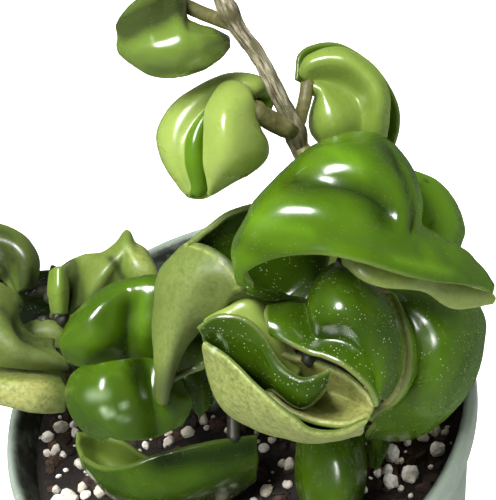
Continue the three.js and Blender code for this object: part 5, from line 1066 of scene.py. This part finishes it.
# Painted shade: a groove's colour darkens by this much for each millimetre of its depth.
GROOVE_SHADE = 0.16  # how much darker a groove is for each millimetre of its depth
SWELL, SWELL_SIZE, SWELL_REACH = 0.22, 5.5, 4.0  # broad bumps that fade out near the margin
RIPPLE, RIPPLE_SIZE = 0.12, 2.4  # fine ones that don't
ROLL_TURN = 0.02  # the share of the net over which a rolled blade changes faces
ROLL_BAND = 0.035
PETIOLE = {
    "rings": 16, "sides": 14, "radius": 1.3, "start": 0.5, "sunk": 1.6, "tip": 0.55, "foot": 0.35,
    "foot_reach": 0.12, "neck": 0.1, "neck_at": 0.9, "neck_reach": 0.1, "bumps": ((0.12, 1.6, 4),),
}


def eased(count):
    """Places from 0 to 1 that crowd towards both ends."""
    s = np.linspace(0, 1, count)
    return s - CROWDING * np.sin(2 * math.pi * s)


def margin_distance(grid):
    """Each grid point's distance to the blade's margin, measured along its row and its column."""
    found = np.full(grid.shape[:2], np.inf)
    for axis in (0, 1):
        steps = np.linalg.norm(np.diff(grid, axis=axis), axis=-1)
        zero = np.zeros_like(np.take(steps, [0], axis=axis))
        run = np.concatenate([zero, np.cumsum(steps, axis=axis)], axis=axis)
        total = np.take(run, [-1], axis=axis)
        found = np.minimum(found, np.minimum(run, total - run))
    return found


def grid_normals(grid):
    """The grid's normals, each smoothed with those of its neighbours."""
    normals = unit(np.cross(np.gradient(grid, axis=0), np.gradient(grid, axis=1)))
    for _ in range(SMOOTHINGS):
        padded = np.pad(normals, ((1, 1), (1, 1), (0, 0)), mode="edge")
        normals = unit(padded[1:-1, 1:-1] * 2 + padded[:-2, 1:-1] + padded[2:, 1:-1]
                       + padded[1:-1, :-2] + padded[1:-1, 2:])
    return normals


def blade_strokes(leaf, key, size):
    """How strongly the leaf's drawn strokes of one kind reach each point of the blade."""
    if leaf.get("world"):
        return np.zeros(size)
    points = sample_net(leaf["net"], eased(size[0]), eased(size[1]))
    return stroke_depth(leaf.get(key, ()), points)


def blade(build, leaf, size, seed):
    """Adds a leaf's blade: two faces that share the vertices of their margin."""
    rows, columns = size
    grid = blade_grid(leaf, eased(rows), eased(columns))
    distance = margin_distance(grid)
    inner = np.clip(distance / SWELL_REACH, 0, 1)[..., None]
    swell = inner * SWELL * wobble(grid, SWELL_SIZE, seed)[..., None]
    ripple = RIPPLE * wobble(grid, RIPPLE_SIZE, seed + 2)[..., None]
    grid = grid + grid_normals(grid) * (swell + ripple)
    round_off = np.sqrt(np.clip(1 - (1 - np.clip(distance / EDGE_ROUND, 0, 1)) ** 2, 0, 1))
    half = grid_normals(grid) * (leaf.get("thickness", BLADE_THICKNESS) / 2 * round_off)[..., None]
    index = np.arange(rows * columns).reshape(rows, columns)
    inside = np.zeros((rows, columns), bool)
    inside[1:-1, 1:-1] = True
    below = index.copy()
    below[inside] = index.size + np.arange(inside.sum())
    quads = grid_faces(rows, columns)

    def both(values, underneath=None):
        """Values for the top face's vertices, and for those inside the bottom face."""
        underneath = values if underneath is None else underneath
        return np.concatenate([values.reshape(-1, *values.shape[2:]), underneath[inside]])

    matt_top = np.full(size, 0.0 if leaf["glossy"] > 0 else 1.0)
    under = both(np.where(inside, matt_top, 0.5), 1 - matt_top)
    band = np.exp(-distance / EDGE_BAND)
    if "rolled" in leaf:
        beyond = np.broadcast_to(eased(rows)[:, None], size) - leaf["rolled"]
        under = under + (1 - 2 * under) * both(np.clip(beyond / ROLL_TURN, 0, 1))
        band = np.maximum(band, np.exp(-((beyond + ROLL_TURN) / ROLL_BAND) ** 2))
    # Painted shade and light: grooves and shading strokes darken the tone where shade falls in hollows and
    # creases, and negative strokes lighten it where light falls.
    shade = GROOVE_SHADE * blade_strokes(leaf, "grooves", size) + blade_strokes(leaf, "shades", size)
    tone = leaf.get("tone", 0.0)
    build.add(
        both(grid + half, grid - half), np.concatenate([quads, below.ravel()[quads][:, ::-1]]),
        under=under, edge=both(band), mark=both(blade_strokes(leaf, "flecks_and_sheen", size)), wax=leaf.get("wax", 0.0),
        tone=np.where(under > 0.5, tone, leaf.get("gloss_tone", tone)) - both(shade),
    )


def nearest_pair(roots, route):
    """The root nearest to the route, and the number of the route's point that it is nearest to."""
    gaps = np.linalg.norm(roots[:, None] - route[None], axis=-1)
    root, stop = np.unravel_index(np.argmin(gaps), gaps.shape)
    return roots[root], stop


def petiole(build, leaf):
    """The leaf's stalk, from inside its stem to a little way up the blade."""
    stem = STEMS[leaf["stem"]]
    rows, columns = leaf.get("cells", BLADE_CELLS)
    grid = blade_grid(leaf, np.linspace(0, 1, rows), np.linspace(0, 1, columns))
    roots = np.concatenate([grid[0], grid[-1], grid[:, 0], grid[:, -1]])
    if "root" in leaf:
        down, across = leaf["root"]
        roots = grid[int(down * (rows - 1) + 0.5), int(across * (columns - 1) + 0.5)][None]
    route = stem_route(stem, STEM_SAMPLES)
    last = STEM_SAMPLES - 1
    if "at" in leaf:
        stop = int(leaf["at"] * last + 0.5)
        root = nearest_pair(roots, route[stop:stop + 1])[0]
    else:
        root, stop = nearest_pair(roots, route)
    tangent = unit(route[min(stop + 1, last)] - route[max(stop - 1, 0)])
    outward = root - route[stop]
    outward = unit(outward - tangent * outward.dot(tangent) * leaf.get("square", 1.0))
    start = route[stop] + outward * PETIOLE["start"]
    foot = route[stop] + outward * (stem_radius(stem, stop / last) + PETIOLE_GAP)
    handle = foot + outward * (np.linalg.norm(foot - root) / 3)
    t = np.linspace(0, 1, PETIOLE["rings"] - 2)[:, None]
    curve = (1 - t) ** 3 * foot + 3 * (1 - t) ** 2 * t * handle + 3 * (1 - t) * t * t * root + t ** 3 * root
    inward = unit(grid[rows // 2, columns // 2] - root)
    path = np.concatenate([[start], curve, [root + inward * PETIOLE["sunk"]]])
    along = np.linspace(0, 1, len(path))
    foot_swelling = PETIOLE["foot"] * np.exp(-(along / PETIOLE["foot_reach"]) ** 2)
    neck_swelling = PETIOLE["neck"] * np.exp(-((along - PETIOLE["neck_at"]) / PETIOLE["neck_reach"]) ** 2)
    radii = leaf.get("stalk", PETIOLE["radius"]) + foot_swelling + neck_swelling
    radii[-1] = PETIOLE["tip"]
    rings = ring_tube(path, radii, PETIOLE["sides"])
    rings += (rings - path[:, None]) / radii[:, None, None] * relief(rings, PETIOLE["bumps"])[..., None]
    # The stalk's own tone, -1 where it is painted dark as shade.
    closed_tube(build, rings, stalk=1.0, under=1.0, tone=leaf.get("shaded_stalk_tone", leaf.get("tone", 0.0)))


def build_leaf(leaf, size, seed):
    build = Build(LEAF_DATA)
    blade(build, leaf, size, seed)
    petiole(build, leaf)
    return dress(build.object(f"{leaf['name']}_piece"), "leaf", node=leaf["name"])


for number, leaf_form in enumerate(LEAVES):
    build_leaf(leaf_form, LEAF_GRID, number)
for number, far_form in enumerate(FAR_LEAVES):
    far_leaf = {**far_form, "glossy": -1, "world": True, "net": curled_net(far_form), "cells": FAR_CELLS}
    build_leaf(far_leaf, FAR_GRID, FAR_SEED + number)


# ---------------------------------------------------------------- pot
POT_SIDES = 240
POT_STEP = 3.0  # about the distance between two rings of the pot's wall
LIP_TAPER, LIP_BEVEL = 0.5, 0.6  # the lip narrows downwards, and its lower edge slopes back to the wall
DRAIN_SIDES = 32
DRAIN_REACH = 4  # the height of the tool that cuts a drain hole, in thicknesses of the floor


def pot_outer_radius(height):
    spread = POT["rim_radius"] - POT["lip_step"] - POT["base_radius"]
    return POT["base_radius"] + spread * height / POT["height"]


def pot_inner_radius(height):
    return pot_outer_radius(height) - POT["wall"]


def drill(pot, angle):
    """Cut one drain hole through the pot's floor, at an angle round its axis."""
    shape = bmesh.new()
    centre = POT["drain_circle"] * math.cos(angle) * MM, POT["drain_circle"] * math.sin(angle) * MM, 0.0
    radius = POT["drain_radius"] * MM
    bmesh.ops.create_cone(
        shape, cap_ends=True, segments=DRAIN_SIDES, radius1=radius, radius2=radius,
        depth=DRAIN_REACH * POT["floor"] * MM, matrix=Matrix.Translation(centre),
    )
    mesh = bpy.data.meshes.new("drain")
    shape.to_mesh(mesh)
    shape.free()
    cutter = bpy.data.objects.new("drain", mesh)
    bpy.context.scene.collection.objects.link(cutter)
    cut = pot.modifiers.new("drain", "BOOLEAN")
    cut.operation = "DIFFERENCE"
    cut.solver = "EXACT"
    cut.object = cutter
    bpy.context.view_layer.update()
    pot.data = bpy.data.meshes.new_from_object(pot.evaluated_get(bpy.context.evaluated_depsgraph_get()))
    pot.modifiers.remove(cut)
    bpy.data.objects.remove(cutter)
    bpy.data.meshes.remove(mesh)


def pot_corners():
    """The pot's outline from the middle of its floor over the lip to its base: radius, height, and painted
    shade, 1 inside the pot and fading out over the lip's top.
    """
    top, edge, rim, foot = POT["height"], POT["edge"], POT["rim_radius"], POT["foot_height"]
    under_lip = top - POT["lip_height"]
    inner_lip = rim - POT["lip_width"]
    return [
        (0.0, POT["floor"], 1), (pot_inner_radius(POT["floor"]), POT["floor"], 1),
        (pot_inner_radius(under_lip), under_lip, 1), (inner_lip, top - 2 * edge, 1),
        (inner_lip + 0.3 * edge, top - 0.4 * edge, 0.9), (inner_lip + edge, top, 0.6), (rim - edge, top, 0),
        (rim - 0.3 * edge, top - 0.3 * edge, 0), (rim, top - edge, 0), (rim - LIP_TAPER, under_lip, 0),
        (pot_outer_radius(under_lip), under_lip - LIP_BEVEL, 0), (pot_outer_radius(foot), foot, 0),
        (POT["base_radius"] - foot, 0.0, 0), (0.0, 0.0, 0),
    ]


def turned(radius, height, sides):
    """Rings of vertices round the pot's axis, one for each radius and height."""
    angles = circle(sides)
    radius, height = np.asarray(radius)[:, None], np.asarray(height)[:, None]
    return np.stack([radius * np.cos(angles), radius * np.sin(angles), height + 0 * angles], -1)


def build_pot():
    corners = pot_corners()
    profile = []
    for low, high in zip(corners, corners[1:]):
        low, high = np.array(low), np.array(high)
        steps = max(1, int(math.hypot(*(high - low)[:2]) / POT_STEP))
        profile += [low + (high - low) * (step / steps) for step in range(steps)]
    radius, height, painted_shade = np.array([*profile, corners[-1]]).T
    rings = turned(radius, height, POT_SIDES)
    build = Build(("inside",))
    faces = grid_faces(len(rings), POT_SIDES, wrap=True)
    build.add(rings, faces, inside=np.repeat(painted_shade, POT_SIDES))
    pot = build.object("pot_piece")
    for k in range(POT["drain_count"]):
        drill(pot, 2 * math.pi * (k + 0.5) / POT["drain_count"])
    return dress(pot, "pot", node="pot")


build_pot()


# ---------------------------------------------------------------- soil
SOIL_GRID = (110, 260)
SOIL_TOP = POT["height"] - SOIL["below"]  # at the pot's wall
SOIL_REACH = pot_inner_radius(SOIL_TOP)
SOIL_EDGE_GAP = 0.1
SOIL_SHOULDER = 20.0  # how far below the surface the soil's side meets the pot's slope
CLODS = ((0.7, 9, 1), (0.55, 3.1, 2), (0.35, 1.2, 3))  # height, size and seed
RANDOM = np.random.default_rng(11)


def soil_height(x, y):
    """The soil's own height at a point, with its clods."""
    reach = np.hypot(x, y) / SOIL_REACH
    points = np.stack([x, y, np.zeros_like(x)], -1)
    return SOIL_TOP + SOIL["swell"] * (1 - reach ** 2) + relief(points, CLODS)


def build_soil():
    rings_count, sides = SOIL_GRID
    top = turned((SOIL_REACH - SOIL_EDGE_GAP) * np.linspace(0, 1, rings_count), np.zeros(rings_count), sides)
    top[..., 2] = soil_height(top[..., 0], top[..., 1])
    top[0] = top[0].mean(axis=0)
    floor = POT["floor"] + SOIL["gap"]
    heights = np.array([SOIL_TOP - SOIL_SHOULDER, floor, floor])
    below = turned((pot_inner_radius(heights) - SOIL["gap"]) * [1.0, 1.0, 0.0], heights, sides)
    grid = np.concatenate([top, below])
    build = Build()
    build.add(grid, grid_faces(len(grid), sides, wrap=True))
    return dress(build.object("soil_piece"), "soil", node="soil")


build_soil()


PEBBLE_DETAIL = 2
PEBBLE_SQUEEZE = (0.6, 1.0)
PEBBLE_LUMPS, PEBBLE_LUMP_SIZE = 0.32, 0.9
PEBBLE_STEP, PEBBLE_SEEDS = 3.7, 13  # move each pebble on to other lumps
SEEN_SWELL = 1.0  # how far the soil's middle stands above its edge, where a seen grain lies
WALL_MARGIN = 0.75  # how far a grain's centre stays from the pot's wall, in sizes of the grain


def pebble_mesh():
    """The vertices and faces of a ball of radius 1."""
    shape = bmesh.new()
    bmesh.ops.create_icosphere(shape, subdivisions=PEBBLE_DETAIL, radius=1.0)
    vertices = np.array([v.co for v in shape.verts])
    faces = np.array([[v.index for v in f.verts] for f in shape.faces])
    shape.free()
    return vertices, faces


PEBBLE = pebble_mesh()


def scatter(name, material, spots, lift):
    """Irregular grains resting on the soil: each spot is x, y, size and flatness, lift how high they sit."""
    vertices, faces = PEBBLE
    build = Build(("tone",))
    for number, (x, y, size, flatness) in enumerate(spots):
        turn = Matrix.Rotation(RANDOM.uniform(0, 2 * math.pi), 3, Vector(RANDOM.normal(size=3)).normalized())
        scale = np.array([1.0, RANDOM.uniform(*PEBBLE_SQUEEZE), flatness]) * size / 2
        lumps = wobble(vertices + number * PEBBLE_STEP, PEBBLE_LUMP_SIZE, number % PEBBLE_SEEDS)
        lumps = 1 + PEBBLE_LUMPS * lumps
        shape = (vertices * lumps[:, None] * scale) @ np.array(turn).T
        ground = float(soil_height(np.array([x]), np.array([y]))[0])
        shape += [x, y, ground + size * lift / 2]
        build.add(shape, faces, tone=RANDOM.uniform())
    return dress(build.object(name, smooth=False), material)


def random_spots(count, sizes, flatness):
    spots = []
    while len(spots) < count:
        x, y = RANDOM.uniform(-SOIL_REACH, SOIL_REACH, 2)
        size = RANDOM.uniform(*sizes)
        if math.hypot(x, y) < SOIL_REACH - WALL_MARGIN * size:
            spots.append((x, y, size, RANDOM.uniform(*flatness)))
    return spots


def on_soil(page_x, page_y, size):
    """The point of the soil's surface seen at a place on the drawing plane, kept inside the pot's wall."""
    ray = from_eye([page_x, page_y, 0.0])
    reach = (SOIL_TOP + SEEN_SWELL - EYE[2]) / ray[2]
    spot = (EYE + reach * ray)[:2]
    limit = SOIL_REACH - WALL_MARGIN * size
    return spot * min(1.0, limit / np.linalg.norm(spot))


# The perlite grains that can be told apart: x and y on the page, and size.
SEEN_PERLITE = [
    (-40, -37.5, 3), (-40, -40.5, 2.5), (-36.8, -41, 2), (-33.5, -43, 3), (-39, -42.5, 1.5), (-38, -45, 1.5),
    (-38.3, -48, 2.5), (-33, -47.5, 3), (-34.8, -34.8, 2.5), (-38.7, -20, 2.6), (-16, -37, 1.6),
    (-12, -36.5, 1.8), (-8, -36, 1.6), (-3, -36.8, 2), (2, -37.5, 1.8), (5, -38.5, 2), (7, -43, 2),
    (8, -47, 2.2), (28.8, -41, 4.4), (28.1, -44.4, 3), (37.6, -36, 3), (34.9, -37.2, 3.2), (32.4, -45, 4),
    (22.9, -48, 2.6), (34.9, -47.5, 2), (31.9, -38.5, 2), (30.5, -47.5, 1.8), (36.5, -43, 1.4),
]
SEEN_FLATNESS = 0.8
GRAIN_FLATNESS = (0.6, 1.0)
CHIP_FLATNESS = (0.25, 0.7)

perlite_spots = [(*on_soil(x, y, size), size, SEEN_FLATNESS) for x, y, size in SEEN_PERLITE]
perlite_spots += random_spots(170, (1.5, 4.2), GRAIN_FLATNESS)
perlite_spots += random_spots(300, (0.5, 1.4), GRAIN_FLATNESS)
scatter("soil_perlite", "perlite", perlite_spots, lift=0.35)
scatter("soil_chips", "chips", random_spots(520, (1.6, 4.6), CHIP_FLATNESS), lift=0.15)


# ---------------------------------------------------------------- camera, floor and lights
SENSOR_WIDTH = 36.0
CLIP_START = 0.02
FLOOR_REACH = 30000.0  # far enough that low views show no edge
FLOOR_GLOW = 0.85
WORLD_STRENGTH = 0.1
LIT_POINT = (0.0, 0.0, 100.0)
# name, azimuth, elevation and distance from the lit point, width and height, watts, mirrored in the gloss
SOFTBOXES = (
    ("key", 222, 73, 700, (240, 380), 9.5, True),
    ("back", 110, 50, 900, (500, 240), 5, False),
    ("left", 190, 30, 900, (300, 400), 2, False),
    ("right", -25, 35, 900, (300, 400), 2, False),
)


def metres(point):
    return Vector(point) * MM


def build_camera():
    data = bpy.data.cameras.new("camera")
    data.sensor_width = SENSOR_WIDTH
    data.lens = DRAW["distance"] / DRAW["frame_height"] * data.sensor_width
    data.clip_start = CLIP_START
    camera = bpy.data.objects.new("camera", data)
    bpy.context.scene.collection.objects.link(camera)
    axes = Matrix((DRAW_RIGHT, DRAW_UP, -FORWARD)).transposed().to_4x4()
    camera.matrix_world = Matrix.Translation(metres(EYE)) @ axes
    bpy.context.scene.camera = camera


build_camera()


def build_floor():
    corners = [(x * FLOOR_REACH, y * FLOOR_REACH, 0) for x, y in ((-1, -1), (1, -1), (1, 1), (-1, 1))]
    floor = new_object("floor", corners, [[0, 1, 2, 3]])
    g = Graph("floor")
    colour = g.mix(g.ramp(g.noise(400, 2), 0.3, 0.7), (0.86, 0.86, 0.86), (0.9, 0.9, 0.9))
    floor.data.materials.append(
        g.finish(colour, 0.7, Emission_Color=(1, 1, 1, 1), Emission_Strength=FLOOR_GLOW))
    floor.visible_glossy = False


build_floor()


def softbox(name, azimuth, elevation, distance, size, power, mirrored):
    """An area light that faces the lit point."""
    data = bpy.data.lights.new(name, "AREA")
    data.shape = "ELLIPSE"
    data.size, data.size_y = (side * MM for side in size)
    data.energy = power
    light = bpy.data.objects.new(name, data)
    light.visible_glossy = mirrored
    bpy.context.scene.collection.objects.link(light)
    a, e = math.radians(azimuth), math.radians(elevation)
    away = Vector((math.cos(e) * math.cos(a), math.cos(e) * math.sin(a), math.sin(e)))
    light.location = metres(LIT_POINT) + away * distance * MM
    light.rotation_euler = away.to_track_quat("Z", "Y").to_euler()


for box in SOFTBOXES:
    softbox(*box)

world = bpy.data.worlds.new("studio")
world.use_nodes = True
background = world.node_tree.nodes["Background"].inputs
background["Color"].default_value = (1, 1, 1, 1)
background["Strength"].default_value = WORLD_STRENGTH
bpy.context.scene.world = world
bpy.context.scene.view_settings.view_transform = "Standard"
